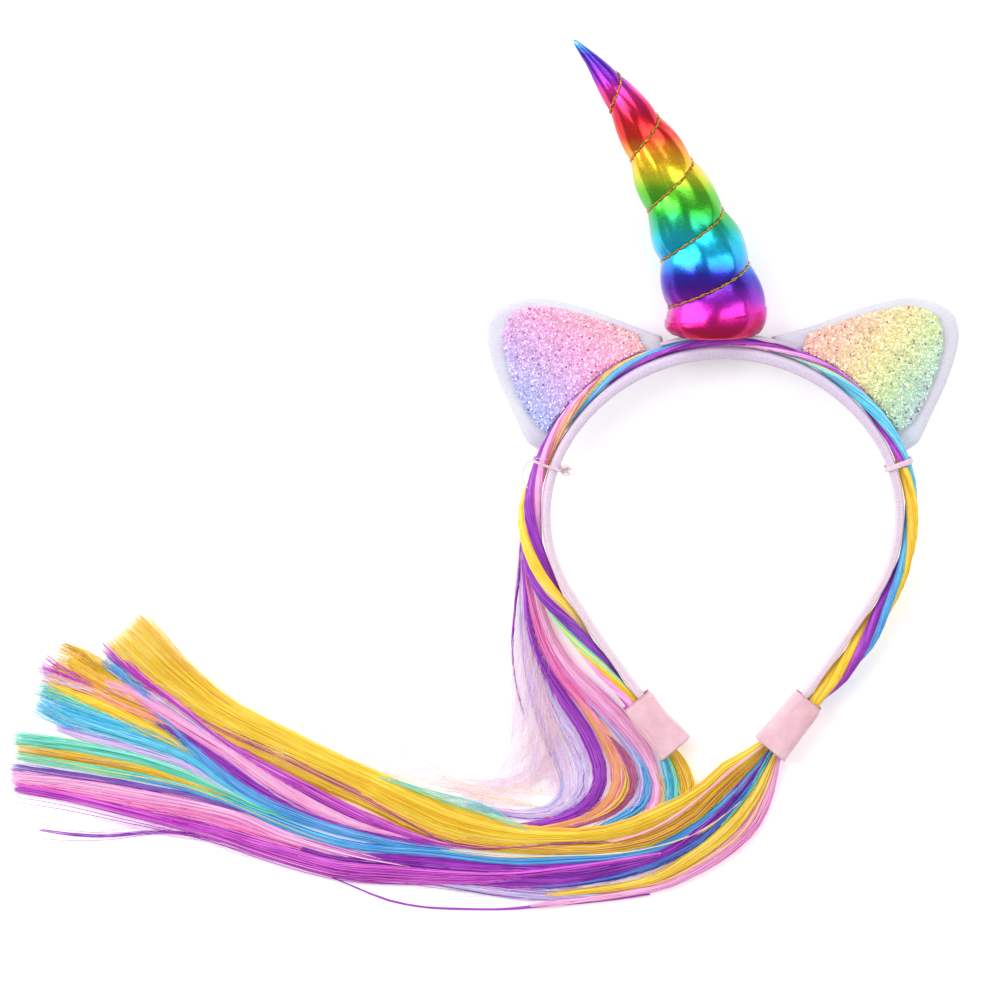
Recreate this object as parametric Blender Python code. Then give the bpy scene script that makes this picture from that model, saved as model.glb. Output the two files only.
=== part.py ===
# Unicorn horn headband, laid down flat: an alice band with a stuffed horn, two ears, a twist of
# hair locks along its outer face, soft sleeves near its ends and the hair that falls from them.
# Sizes are in millimetres here and in metres in the finished pieces. +X runs to the right of the
# laid-down band, +Y from its open ends to its crown, +Z up from the floor.
import math
from collections import namedtuple

import bpy
import bmesh
from mathutils import Vector

MM = 0.001
GAP = 0.3

# Headband: half of its inner edge, from the crown to the sleeve's mouth.
CROWN_RADIUS = 64.3
CROWN_TURN = 55.0
TEMPLE_RADIUS = 50.4
TEMPLE_TURN = 67.0
LEG_LENGTH = 68.0
LEG_TURN = 8.0
BAND_THICK = 4.6
BAND_DEPTH = 12.0
BAND_STOP = 6.5

# Twist of four hair locks along the band's outer face.
TWIST_HALF_THICK = 4.5
TWIST_HALF_DEPTH = 4.7
TWIST_PITCH = 76.0
TWIST_FORWARD = 1.5
TWIST_STOP = 8.5

# Horn: a bent cone of stuffed lobes between spiral grooves.
HORN_RADIUS = 17.3
HORN_LENGTH = 119.8
HORN_ASIDE = -2.4
HORN_PITCH = 19.5
HORN_FIRST_GROOVE = 12.5
HORN_TIP_RADIUS = 0.8
HORN_PUFF = 0.085
HORN_LEAN_FORWARD = 3.0
HORN_SIDES = 18
HORN_DISH = 2.9
HORN_SEAT = 0.85
THREAD_RADIUS = 0.42
THREAD_STOP = 13.0
HORN_FADE = 22.0
FELT_THICK = 1.1
FELT_DEPTH = 10.4
FELT_LENGTH = 44.0

# Ears, with their raised glitter panels.
EAR_HALF_WIDTH = 31.0
EAR_HEIGHT = 46.0
EAR_THICK = 3.0
EAR_PLACE = 41.0
PANEL_THICK = 1.3
EAR_BACK = 0.3 - 0.5 * BAND_DEPTH

# Sleeves near the ends of the band.
SLEEVE_LENGTH = 22.5
SLEEVE_HALF_WIDTH = 6.6
SLEEVE_HALF_DEPTH = 6.2
SLEEVE_WALL = 1.1

# Ties round the twist, just past the ears' lower ends.
TIE_CLEAR = 1.7
TIE_THREAD = 0.35
EAR_MIDDLE = math.radians(EAR_PLACE) * CROWN_RADIUS
EAR_FOOT = 0.88 * EAR_HALF_WIDTH
TIE_PLACE = EAR_MIDDLE + EAR_FOOT + TIE_CLEAR

# Hair lying on the floor.
FALL_REACH = 272.0
FALL_DROP = 56.0
FALL_HEIGHT = 7.0
SIDE_FALL_WIDTH = 25.0


def table(columns, *rows):
    kind = namedtuple("row", columns)
    return [kind(*row) for row in rows]


BAND_SHAPE = table("share thick depth",
                   (0.00, 1.00, 1.00), (0.14, 0.98, 1.00), (0.34, 0.78, 0.96), (0.60, 0.65, 0.86),
                   (0.85, 0.61, 0.70), (1.00, 0.60, 0.66))
# The twist is thicker beside the left temple and low on the right.
TWIST_SHAPE = table("share thick right depth forward",
                    (0.00, 0.34, 0.34, 0.92, 1.0), (0.10, 0.36, 0.36, 0.90, 1.0),
                    (0.22, 0.50, 0.50, 0.92, 1.0), (0.36, 0.56, 0.56, 0.94, 1.0),
                    (0.40, 0.60, 0.55, 0.94, 0.8), (0.50, 0.92, 0.54, 1.00, 0.4),
                    (0.60, 1.00, 0.62, 1.00, 0.1), (0.74, 0.84, 0.90, 0.96, 0.0),
                    (0.80, 0.71, 0.82, 0.93, 0.0), (0.88, 0.54, 0.54, 0.90, 0.0),
                    (1.00, 0.48, 0.48, 0.86, 0.0))
TWIST_LOCKS = table("name place colour",
                    ("twist_yellow", 22.0, (0.90, 0.56, 0.03)), ("twist_blue", 41.0, (0.10, 0.36, 0.75)),
                    ("twist_purple", 60.0, (0.28, 0.03, 0.38)), ("twist_pink", 79.0, (0.95, 0.35, 0.66)))
HORN_HEADINGS = table("share heading",
                      (0.00, 0.5), (0.08, 9.0), (0.17, 15.0), (0.30, 21.5), (0.46, 26.0), (0.61, 29.0),
                      (0.75, 34.5), (0.88, 39.5), (1.00, 42.0))
EAR_OUTLINE = table("across out",
                    (-1.00, 0.03), (-0.82, 0.21), (-0.60, 0.49), (-0.34, 0.757), (-0.17, 0.883),
                    (0.06, 0.97), (0.28, 1.0), (0.45, 0.95), (0.58, 0.852), (0.70, 0.693),
                    (0.81, 0.491), (0.89, 0.298), (0.96, 0.146), (0.99, 0.05))
PANEL_OUTLINE = table("across out",
                      (-0.80, 0.13), (-0.70, 0.27), (-0.46, 0.54), (-0.19, 0.78), (-0.03, 0.86),
                      (0.15, 0.90), (0.31, 0.855), (0.42, 0.785), (0.545, 0.65), (0.68, 0.44),
                      (0.75, 0.25), (0.775, 0.13))
SLEEVE_SHAPE = table("share width depth",
                     (0.00, 0.82, 0.96), (0.10, 0.86, 1.00), (0.50, 0.88, 0.97), (0.85, 0.94, 1.00),
                     (1.00, 1.00, 0.98))
# The main fall: its upper and lower edges, left of and below the right sleeve's mouth, as shares
# of FALL_REACH and FALL_DROP, with how high the hair stands and how far it is off the floor.
MAIN_FALL = table("upper_x upper_y lower_x lower_y height lift",
                  (0.020, 0.051, -0.019, 0.161, 0.98, 0.08), (0.037, 0.103, -0.012, 0.289, 0.94, 0.00),
                  (0.057, 0.154, 0.004, 0.463, 0.90, 0.00), (0.079, 0.219, 0.028, 0.611, 0.90, 0.00),
                  (0.105, 0.296, 0.062, 0.746, 0.90, 0.00), (0.134, 0.373, 0.105, 0.849, 0.88, 0.00),
                  (0.168, 0.444, 0.150, 0.919, 0.86, 0.00), (0.208, 0.495, 0.203, 0.964, 0.84, 0.00),
                  (0.253, 0.521, 0.258, 0.990, 0.82, 0.00), (0.300, 0.508, 0.314, 0.996, 0.80, 0.00),
                  (0.351, 0.463, 0.369, 0.977, 0.78, 0.00), (0.401, 0.379, 0.425, 0.939, 0.76, 0.00),
                  (0.454, 0.289, 0.480, 0.894, 0.74, 0.00), (0.507, 0.174, 0.536, 0.855, 0.72, 0.00),
                  (0.566, 0.032, 0.597, 0.823, 0.70, 0.00), (0.617, -0.084, 0.652, 0.771, 0.67, 0.00),
                  (0.663, -0.206, 0.708, 0.707, 0.64, 0.00), (0.708, -0.341, 0.758, 0.630, 0.60, 0.00))
MAIN_LOCKS = table("start split tip_x tip_y tip_width",
                   (0.00, 0.00, 0.838, -0.733, 0.75), (0.17, 0.80, 0.878, -0.604, 0.70),
                   (0.31, 0.80, 0.868, -0.440, 0.60), (0.41, 0.20, 0.938, -0.470, 0.60),
                   (0.52, 0.80, 0.957, -0.296, 0.60), (0.64, 0.10, 0.994, -0.051, 0.70),
                   (0.77, 0.80, 0.997, 0.150, 0.70), (0.91, 0.00, 0.957, 0.527, 0.30))
# The side fall: its outer edge runs beside the band and its sleeve, then beside the main fall.
SIDE_BESIDE = table("share width heading height",
                    (0.565, 0.10, 187.0, 0.40), (0.600, 0.19, 187.0, 0.46), (0.660, 0.50, 189.0, 0.52),
                    (0.720, 0.74, 191.0, 0.58), (0.780, 0.84, 193.0, 0.62), (0.850, 0.90, 191.0, 0.66),
                    (0.920, 0.86, 184.0, 0.68), (0.985, 0.86, 179.0, 0.70))
SIDE_ALONG = table("row width heading height",
                   (5.2, 0.86, 162.0, 0.68), (5.9, 0.68, 157.0, 0.66), (6.7, 0.50, 149.0, 0.62),
                   (7.6, 0.32, 131.0, 0.56), (8.6, 0.21, 110.0, 0.50), (9.8, 0.17, 88.0, 0.44),
                   (11.2, 0.14, 66.0, 0.38))
SIDE_LOCKS = table("start", (0.0,), (0.24,), (0.46,), (0.66,), (0.84,))
LEFT_FALL = table("share height lift", (0.20, 0.96, 0.08), (0.45, 0.92, 0.0), (0.72, 0.88, 0.0),
                  (1.00, 0.82, 0.0))


def at(rows, share, name):
    """The named column at a share, smoothly between the table's rows."""
    first = rows[0]
    for row in rows:
        if row.share >= share:
            if row is first:
                return getattr(row, name)
            along = (share - first.share) / (row.share - first.share)
            along = along * along * (3 - 2 * along)
            return getattr(first, name) * (1 - along) + getattr(row, name) * along
        first = row
    return getattr(rows[-1], name)


def smooth_route(points, steps):
    """A Catmull-Rom curve through the points, with this many steps between each two."""
    route = []
    for index in range(len(points) - 1):
        before = points[max(index - 1, 0)]
        start = points[index]
        end = points[index + 1]
        after = points[min(index + 2, len(points) - 1)]
        for step in range(steps):
            t = step / steps
            route.append(0.5 * (2 * start + (end - before) * t
                                + (2 * before - 5 * start + 4 * end - after) * t ** 2
                                + (3 * start - before - 3 * end + after) * t ** 3))
    route.append(points[-1].copy())
    return route


for old in list(bpy.data.objects):
    bpy.data.objects.remove(old)
assembly = bpy.data.collections.new("unicorn_horn_headband")
bpy.context.scene.collection.children.link(assembly)


def material(name, colour, rough, metal=0.0):
    made = bpy.data.materials.new(name)
    made.use_nodes = True
    shader = made.node_tree.nodes["Principled BSDF"]
    shader.inputs["Base Color"].default_value = (*colour, 1.0)
    shader.inputs["Roughness"].default_value = rough
    shader.inputs["Metallic"].default_value = metal
    return made


def piece(name, corners, faces, colour, rough, metal=0.0):
    """A finished piece from corners in millimetres, with its normals turned outwards."""
    mesh = bpy.data.meshes.new(name)
    mesh.from_pydata([tuple(Vector(corner) * MM) for corner in corners], [], faces)
    work = bmesh.new()
    work.from_mesh(mesh)
    bmesh.ops.recalc_face_normals(work, faces=work.faces)
    bmesh.ops.triangulate(work, faces=work.faces)
    work.to_mesh(mesh)
    work.free()
    mesh.materials.append(material(name + "_material", colour, rough, metal))
    made = bpy.data.objects.new(name, mesh)
    assembly.objects.link(made)
    return made


def loft(rings, closed=False, rising=False):
    """Corners and faces of a skin over rings of equal count, capped unless it closes on itself."""
    count = len(rings[0])
    corners = [corner for ring in rings for corner in ring]
    faces = []
    spans = len(rings) if closed else len(rings) - 1
    for row in range(spans):
        here = row * count
        there = (row + 1) % len(rings) * count
        for side in range(count):
            after = (side + 1) % count
            quad = (here + side, here + after, there + after, there + side)
            if rising:
                faces.append((quad[0], quad[1], quad[2]))
                faces.append((quad[0], quad[2], quad[3]))
            else:
                faces.append(quad)
    if not closed:
        for ring, start in ((rings[0], 0), (rings[-1], (len(rings) - 1) * count)):
            middle = sum((Vector(corner) for corner in ring), Vector()) / count
            corners.append(middle)
            hub = len(corners) - 1
            for side in range(count):
                faces.append((start + side, start + (side + 1) % count, hub))
    return corners, faces


# The band's inner edge, and the frame that everything on the band is placed in.
CROWN_ARC = CROWN_RADIUS * math.radians(CROWN_TURN)
TEMPLE_ARC = TEMPLE_RADIUS * math.radians(TEMPLE_TURN)
HALF_PATH = CROWN_ARC + TEMPLE_ARC + LEG_LENGTH


def heading_at(distance):
    """The way the half path runs at this distance from the crown, turned down from +X."""
    if distance < CROWN_ARC:
        return math.radians(CROWN_TURN) * distance / CROWN_ARC
    if distance < CROWN_ARC + TEMPLE_ARC:
        return math.radians(CROWN_TURN + TEMPLE_TURN * (distance - CROWN_ARC) / TEMPLE_ARC)
    along = min((distance - CROWN_ARC - TEMPLE_ARC) / LEG_LENGTH, 1.0)
    return math.radians(CROWN_TURN + TEMPLE_TURN + LEG_TURN * along)


def edge_table():
    spots = [(0.0, 0.0, 0.0)]
    step = HALF_PATH / 600
    x = 0.0
    y = 0.0
    for index in range(660):
        middle = heading_at((index + 0.5) * step)
        x += step * math.cos(middle)
        y -= step * math.sin(middle)
        spots.append(((index + 1) * step, x, y))
    return spots


EDGE = edge_table()


def band_spot(distance, outward):
    """Where a point lies outward of the band's inner edge. Distance is negative on the left."""
    far = abs(distance)
    step = HALF_PATH / 600
    index = min(int(far / step), len(EDGE) - 2)
    rest = far / step - index
    x = EDGE[index][1] * (1 - rest) + EDGE[index + 1][1] * rest
    y = EDGE[index][2] * (1 - rest) + EDGE[index + 1][2] * rest
    turn = heading_at(far)
    x += outward * math.sin(turn)
    y += outward * math.cos(turn)
    return Vector((x if distance >= 0 else -x, y))


def band_thick(distance):
    return BAND_THICK * at(BAND_SHAPE, abs(distance) / HALF_PATH, "thick")


def twist_half(distance):
    column = "thick" if distance < 0 else "right"
    return TWIST_HALF_THICK * at(TWIST_SHAPE, abs(distance) / HALF_PATH, column)


def twist_outer(distance):
    return band_thick(distance) + GAP + 2 * twist_half(distance)


END_LOW = band_spot(HALF_PATH, 0).y
REST_HEIGHT = SLEEVE_HALF_DEPTH + 0.21
CROWN_HEIGHT = HORN_RADIUS * (1 + HORN_PUFF) - 1.15
RISE = math.asin((CROWN_HEIGHT - REST_HEIGHT) / (0 - END_LOW))


def lifted(x, y, z):
    """From the band's own flat frame to the floor's, with the crown raised on the horn."""
    along = y - END_LOW
    return Vector((x, END_LOW + along * math.cos(RISE) - z * math.sin(RISE),
                   REST_HEIGHT + along * math.sin(RISE) + z * math.cos(RISE)))


def section_ring(distance, middle, half_thick, half_depth, forward, sides, power, start=0.0):
    """A rounded section across the band's path, as points in the floor's frame."""
    ring = []
    for side in range(sides):
        turn = start + 2 * math.pi * side / sides
        out = math.copysign(abs(math.cos(turn)) ** power, math.cos(turn)) * half_thick
        up = math.copysign(abs(math.sin(turn)) ** power, math.sin(turn)) * half_depth
        spot = band_spot(distance, middle + out)
        ring.append(lifted(spot.x, spot.y, forward + up))
    return ring


def make_headband():
    rings = []
    steps = 60
    for step in range(steps + 1):
        distance = (HALF_PATH - BAND_STOP) * (2 * step / steps - 1)
        share = abs(distance) / HALF_PATH
        thick = band_thick(distance)
        depth = BAND_DEPTH * at(BAND_SHAPE, share, "depth")
        ring = []
        for out, up in ((0.0, -0.40), (0.18, -0.5), (0.82, -0.5), (1.0, -0.40),
                        (1.0, 0.40), (0.82, 0.5), (0.18, 0.5), (0.0, 0.40)):
            spot = band_spot(distance, out * thick)
            ring.append(lifted(spot.x, spot.y, up * depth))
        rings.append(ring)
    corners, faces = loft(rings)
    return piece("headband", corners, faces, (0.78, 0.72, 0.80), 0.7)


def make_twist():
    steps = 58
    reach = HALF_PATH - TWIST_STOP
    for lock in TWIST_LOCKS:
        rings = []
        for step in range(steps + 1):
            distance = reach * (2 * step / steps - 1)
            share = abs(distance) / HALF_PATH
            half_thick = twist_half(distance)
            half_depth = TWIST_HALF_DEPTH * at(TWIST_SHAPE, share, "depth")
            forward = TWIST_FORWARD * at(TWIST_SHAPE, share, "forward")
            turn = math.pi / 2 - 2 * math.pi * (distance - lock.place) / TWIST_PITCH
            spare = 0.5 * GAP / half_thick
            radius = 0.414 - spare
            away = 0.586
            ring = []
            for side in range(6):
                around = turn + 2 * math.pi * side / 6
                out = math.cos(turn) * away + math.cos(around) * radius
                up = math.sin(turn) * away + math.sin(around) * radius
                spot = band_spot(distance, band_thick(distance) + GAP + half_thick * (1 + out))
                ring.append(lifted(spot.x, spot.y, forward + half_depth * up))
            rings.append(ring)
        corners, faces = loft(rings)
        piece(lock.name, corners, faces, lock.colour, 0.35)


def horn_spine():
    """Points up the horn's bent centre line with the directions across it, in the band's frame."""
    base_y = twist_outer(0.0) + 2 * GAP + FELT_THICK - HORN_SEAT
    lean = math.radians(HORN_LEAN_FORWARD)
    steps = 242
    here = Vector((HORN_ASIDE, base_y, 0.0))
    spots = []
    for index in range(steps + 1):
        share = index / steps
        turn = math.radians(at(HORN_HEADINGS, share, "heading"))
        ahead = Vector((-math.sin(turn), math.cos(turn) * math.cos(lean),
                        math.cos(turn) * math.sin(lean)))
        across = Vector((math.cos(turn), math.sin(turn) * math.cos(lean),
                         math.sin(turn) * math.sin(lean)))
        spots.append((here.copy(), ahead, across, ahead.cross(across) * -1))
        here = here + ahead * (HORN_LENGTH / steps)
    return spots


HORN_SPINE = horn_spine()


def horn_place(height, turn, radius):
    """A point round the horn. The turn starts at the left and runs over the front."""
    index = max(0.0, min(height / HORN_LENGTH, 1.0)) * (len(HORN_SPINE) - 1)
    low = min(int(index), len(HORN_SPINE) - 2)
    rest = index - low
    spot = HORN_SPINE[low][0].lerp(HORN_SPINE[low + 1][0], rest)
    across = HORN_SPINE[low][2].lerp(HORN_SPINE[low + 1][2], rest)
    front = HORN_SPINE[low][3].lerp(HORN_SPINE[low + 1][3], rest)
    spot = spot - across * (radius * math.cos(turn)) + front * (radius * math.sin(turn))
    return lifted(spot.x, spot.y, spot.z)


def horn_groove_radius(height):
    share = max(0.0, min(height / HORN_LENGTH, 1.0))
    return HORN_TIP_RADIUS + (HORN_RADIUS - HORN_TIP_RADIUS) * (1 - share ** 1.35)


def groove_height(turn, number):
    return HORN_FIRST_GROOVE + HORN_PITCH * (number + turn / (2 * math.pi))


def make_horn():
    spacing = HORN_LENGTH / 54
    rings = []
    inside = horn_groove_radius(0.0)
    for height, share in ((HORN_DISH + 0.2, 0.30), (HORN_DISH, 0.80), (1.2, 0.95), (0.0, 1.0)):
        rings.append([horn_place(height, 2 * math.pi * side / HORN_SIDES, inside * share)
                      for side in range(HORN_SIDES)])
    for row in range(55):
        ring = []
        for side in range(HORN_SIDES):
            turn = 2 * math.pi * side / HORN_SIDES
            height = 0.6 + row * (HORN_LENGTH - 0.6) / 54
            number = round((height - HORN_FIRST_GROOVE) / HORN_PITCH - turn / (2 * math.pi))
            groove = groove_height(turn, number)
            if abs(groove - height) <= spacing / 2 and 4.0 < groove < HORN_LENGTH - 0.7 * THREAD_STOP:
                height = groove
            phase = (height - HORN_FIRST_GROOVE) / HORN_PITCH - turn / (2 * math.pi)
            bulge = abs(math.sin(math.pi * phase)) ** 0.7
            if height < HORN_FIRST_GROOVE * 0.6:
                bulge = max(bulge, 0.35 + 0.65 * height / (HORN_FIRST_GROOVE * 0.6))
            radius = horn_groove_radius(height)
            fade = max(0.0, min((HORN_LENGTH - height) / HORN_FADE, 1.0))
            radius += (radius * HORN_PUFF + 0.25) * bulge * fade
            ring.append(horn_place(height, turn, radius))
        rings.append(ring)
    corners, faces = loft(rings, rising=True)
    return piece("horn_cover", corners, faces, (0.55, 0.10, 0.60), 0.22, 0.9)


def make_horn_thread():
    """Thread along the grooves, standing clear of the cover's own facets."""
    rings = []
    first = -0.25
    last = (HORN_LENGTH - THREAD_STOP - HORN_FIRST_GROOVE) / HORN_PITCH
    steps = int((last - first) * HORN_SIDES)
    start_side = math.ceil(first * HORN_SIDES)
    for index in range(steps):
        side = start_side + index
        turn = 2 * math.pi * side / HORN_SIDES
        height = groove_height(turn, 0)
        radius = horn_groove_radius(height) + GAP + THREAD_RADIUS + 0.35
        ring = []
        for corner in range(4):
            around = 2 * math.pi * corner / 4
            ring.append(horn_place(height + THREAD_RADIUS * math.cos(around), turn,
                                   radius + THREAD_RADIUS * math.sin(around)))
        rings.append(ring)
    corners, faces = loft(rings)
    return piece("horn_thread", corners, faces, (0.85, 0.52, 0.12), 0.3, 1.0)


def make_felt():
    """The felt strip that the horn stands on, over the twist."""
    rings = []
    steps = 10
    ear_front = EAR_BACK + EAR_THICK
    for step in range(steps + 1):
        distance = FELT_LENGTH * (step / steps - 0.46)
        low = twist_outer(distance) + GAP
        narrow = 0.5 * FELT_DEPTH * (1 - 0.35 * abs(2 * step / steps - 1) ** 3)
        ring = []
        for out, up in ((0.0, -1.0), (1.0, -1.0), (1.0, 1.0), (0.0, 1.0)):
            spot = band_spot(distance, low + out * FELT_THICK)
            ring.append(lifted(spot.x, spot.y, ear_front + GAP + 0.5 * FELT_DEPTH + up * narrow))
        rings.append(ring)
    corners, faces = loft(rings)
    return piece("horn_felt", corners, faces, (0.80, 0.72, 0.82), 0.9)


def ear_spot(side, across, out):
    """From an ear's own frame, across and out from its place on the crown's arc."""
    turn = math.radians(EAR_PLACE)
    radius = CROWN_RADIUS + BAND_THICK
    top = -CROWN_RADIUS
    x = radius * math.sin(turn) + across * math.cos(turn) + out * math.sin(turn)
    y = top + radius * math.cos(turn) - across * math.sin(turn) + out * math.cos(turn)
    return Vector((side * x, y))


def base_line(side, first, last, clear, count):
    """Points along the band's outer face between two distances from the crown."""
    points = []
    for index in range(count):
        distance = first + (last - first) * index / (count - 1)
        spot = band_spot(distance, clear(side * distance))
        points.append(Vector((side * spot.x, spot.y)))
    return points


def slab(name, outline, back, front, round_by, colour, rough):
    """A flat soft panel with rounded edges from an outline in the band's flat frame."""
    count = len(outline)
    inner = []
    area = sum(outline[i].x * outline[(i + 1) % count].y - outline[(i + 1) % count].x * outline[i].y
               for i in range(count))
    turn_in = 1.0 if area > 0 else -1.0
    for index in range(count):
        before = (outline[index] - outline[index - 1]).normalized()
        after = (outline[(index + 1) % count] - outline[index]).normalized()
        along = (before + after).normalized()
        inner.append(outline[index] + Vector((-along.y, along.x)) * (turn_in * round_by))
    rings = []
    for points, height in ((inner, back), (outline, back + round_by), (outline, front - round_by),
                           (inner, front)):
        rings.append([lifted(point.x, point.y, height) for point in points])
    corners = [corner for ring in rings for corner in ring]
    faces = []
    for row in range(3):
        for index in range(count):
            after = (index + 1) % count
            faces.append((row * count + index, row * count + after,
                          (row + 1) * count + after, (row + 1) * count + index))
    faces.append(tuple(range(count)))
    faces.append(tuple(range(3 * count, 4 * count)))
    return piece(name, corners, faces, colour, rough)


def make_ear(side, name):
    back = EAR_BACK
    front = back + EAR_THICK
    outline = [ear_spot(side, row.across * EAR_HALF_WIDTH, row.out * EAR_HEIGHT)
               for row in EAR_OUTLINE]
    outline = smooth_route(outline, 2)
    foot = base_line(side, EAR_MIDDLE + EAR_FOOT, EAR_MIDDLE - EAR_FOOT,
                     lambda d: band_thick(d) + GAP, 9)
    slab("ear_" + name, outline + foot, back, front, 0.7, (0.80, 0.80, 0.86), 0.95)
    panel = [ear_spot(side, row.across * EAR_HALF_WIDTH, row.out * EAR_HEIGHT)
             for row in PANEL_OUTLINE]
    panel = smooth_route(panel, 2)
    reach = 0.75 * EAR_FOOT
    foot = base_line(side, EAR_MIDDLE + reach, EAR_MIDDLE - reach, lambda d: twist_outer(d) + GAP, 7)
    slab("ear_panel_" + name, panel + foot, front + GAP, front + GAP + PANEL_THICK, 0.35,
         (0.80, 0.50, 0.62), 0.4)


def sleeve_spot(side, distance, out, up):
    spot = band_spot(distance, out)
    return lifted(side * spot.x, spot.y, up)


def sleeve_middle():
    """How far outward of the band's inner edge the sleeve's centre line lies."""
    return 0.5 * (band_thick(HALF_PATH) + GAP + 2 * twist_half(HALF_PATH))


def make_sleeve(side, name):
    sides = 16
    outer = []
    inner = []
    for row in SLEEVE_SHAPE:
        distance = HALF_PATH - SLEEVE_LENGTH * (1 - row.share)
        middle = sleeve_middle()
        half_width = SLEEVE_HALF_WIDTH * row.width
        half_depth = SLEEVE_HALF_DEPTH * row.depth
        for rings, less in ((outer, 0.0), (inner, SLEEVE_WALL)):
            ring = []
            for index in range(sides):
                turn = 2 * math.pi * (index + 0.5) / sides
                out = math.copysign(abs(math.cos(turn)) ** 0.45, math.cos(turn))
                up = math.copysign(abs(math.sin(turn)) ** 0.45, math.sin(turn))
                ring.append(sleeve_spot(side, distance, middle + out * (half_width - less),
                                        up * (half_depth - less)))
            rings.append(ring)
    rings = outer + inner[::-1]
    corners, faces = loft(rings, closed=True)
    return piece("sleeve_" + name, corners, faces, (0.90, 0.58, 0.66), 0.6)


def make_tie(side, name, half_flat, half_thick, knot):
    """A closed loop round the band and the twist."""
    rings = []
    steps = 20
    distance = TIE_PLACE
    thick = band_thick(distance)
    half_band = 0.5 * BAND_DEPTH * at(BAND_SHAPE, distance / HALF_PATH, "depth")
    forward = TWIST_FORWARD * at(TWIST_SHAPE, distance / HALF_PATH, "forward")
    clear = GAP + half_thick
    outer = twist_outer(side * distance)
    half_twist = TWIST_HALF_DEPTH * at(TWIST_SHAPE, distance / HALF_PATH, "depth")
    route = []
    for out, up in ((-clear, 0.0), (-clear, half_band * 0.55), (-clear * 0.7, half_band + clear * 0.6),
                    (thick * 0.5, half_band + clear), (thick, half_band + clear),
                    (thick + 0.3 * (outer - thick), max(forward + half_twist, half_band) + clear),
                    (thick + 0.68 * (outer - thick), forward + half_twist + clear),
                    (outer + 0.1, forward + half_twist * 0.80 + clear * 0.8),
                    (outer + clear, forward + half_twist * 0.4), (outer + clear, forward),
                    (outer + clear, forward - half_twist * 0.4),
                    (outer + 0.1, forward - half_twist * 0.80 - clear * 0.8),
                    (thick + 0.68 * (outer - thick), -half_band - clear),
                    (thick, -half_band - clear), (thick * 0.5, -half_band - clear),
                    (-clear * 0.7, -half_band - clear * 0.6), (-clear, -half_band * 0.55)):
        route.append(Vector((out, up)))
    count = len(route)
    for index in range(count):
        ahead = (route[(index + 1) % count] - route[index - 1]).normalized()
        away = Vector((ahead.y, -ahead.x)) * -1
        swell = knot if index == 0 else 1.0
        spot = route[index] - Vector((1.0, 0.0)) * (half_thick * (swell - 1.0))
        ring = []
        for along, off in ((-1, -1), (1, -1), (1, 1), (-1, 1)):
            place = spot + away * (off * half_thick * (swell if index == 0 else 1.0))
            ring.append(sleeve_spot(side, distance + along * half_flat * (1 + 0.8 * (swell - 1)),
                                    place.x, place.y))
        rings.append(ring)
    corners, faces = loft(rings, closed=True)
    return piece("tie_" + name, corners, faces, (0.88, 0.74, 0.80), 0.4)


# Hair falls: a row of fused locks, scalloped on top and flat below, that part into tips.
def make_fall(name, sections, colour):
    """Each section is a list of lock edges (left and right points, height, lift) per lock. A
    lock's edge is shared with its neighbour's until the two part."""
    corners = []
    faces = []
    placed = {}

    def corner(key, spot):
        if key not in placed:
            placed[key] = len(corners)
            corners.append(spot)
        return placed[key]

    rows = []
    for lock, lock_rows in enumerate(sections):
        made = []
        for index, row in enumerate(lock_rows):
            left, right, height, lift, joined_left, joined_right = row
            left_key = (index, lock, "left") if not joined_left else (index, lock - 1, "right")
            right_key = (index, lock, "right")
            low_left = corner(left_key + ("low",), Vector((left.x, left.y, lift)))
            low_right = corner(right_key + ("low",), Vector((right.x, right.y, lift)))
            edge_left = 0.66 if joined_left else 0.42
            edge_right = 0.66 if joined_right else 0.42
            up_left = corner(left_key + ("up",), Vector((left.x, left.y, lift + height * edge_left)))
            up_right = corner(right_key + ("up",),
                              Vector((right.x, right.y, lift + height * edge_right)))
            first = left.lerp(right, 0.30)
            second = left.lerp(right, 0.70)
            top_first = corner((index, lock, "first"), Vector((first.x, first.y, lift + height)))
            top_second = corner((index, lock, "second"), Vector((second.x, second.y, lift + height)))
            made.append((low_left, low_right, up_right, top_second, top_first, up_left,
                         joined_left, joined_right))
        rows.append(made)
    for made in rows:
        for index in range(len(made) - 1):
            here = made[index]
            there = made[index + 1]
            for first, second in ((0, 1), (1, 2), (2, 3), (3, 4), (4, 5), (5, 0)):
                if (first, second) == (1, 2) and there[7]:
                    continue
                if (first, second) == (5, 0) and there[6]:
                    continue
                faces.append((here[first], here[second], there[second], there[first]))
        for end in (made[0], made[-1]):
            faces.append(end[:6])
    return piece(name, corners, faces, colour, 0.35)


def mouth_spot(side, out, past=0.0):
    """A point on the sleeve's mouth line, flat on the floor."""
    spot = band_spot(HALF_PATH + past, out)
    return Vector((side * spot.x, lifted(spot.x, spot.y, 0).y))


def head_edges(side, past, half_width):
    middle = sleeve_middle()
    return mouth_spot(side, middle - half_width, past), mouth_spot(side, middle + half_width, past)


HEAD_HALF_WIDTH = SLEEVE_HALF_WIDTH - SLEEVE_WALL - GAP - 0.9
HEAD_HEIGHT = 2 * (SLEEVE_HALF_DEPTH - SLEEVE_WALL - GAP) * 0.72
HEAD_LIFT = REST_HEIGHT - 0.5 * HEAD_HEIGHT


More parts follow.
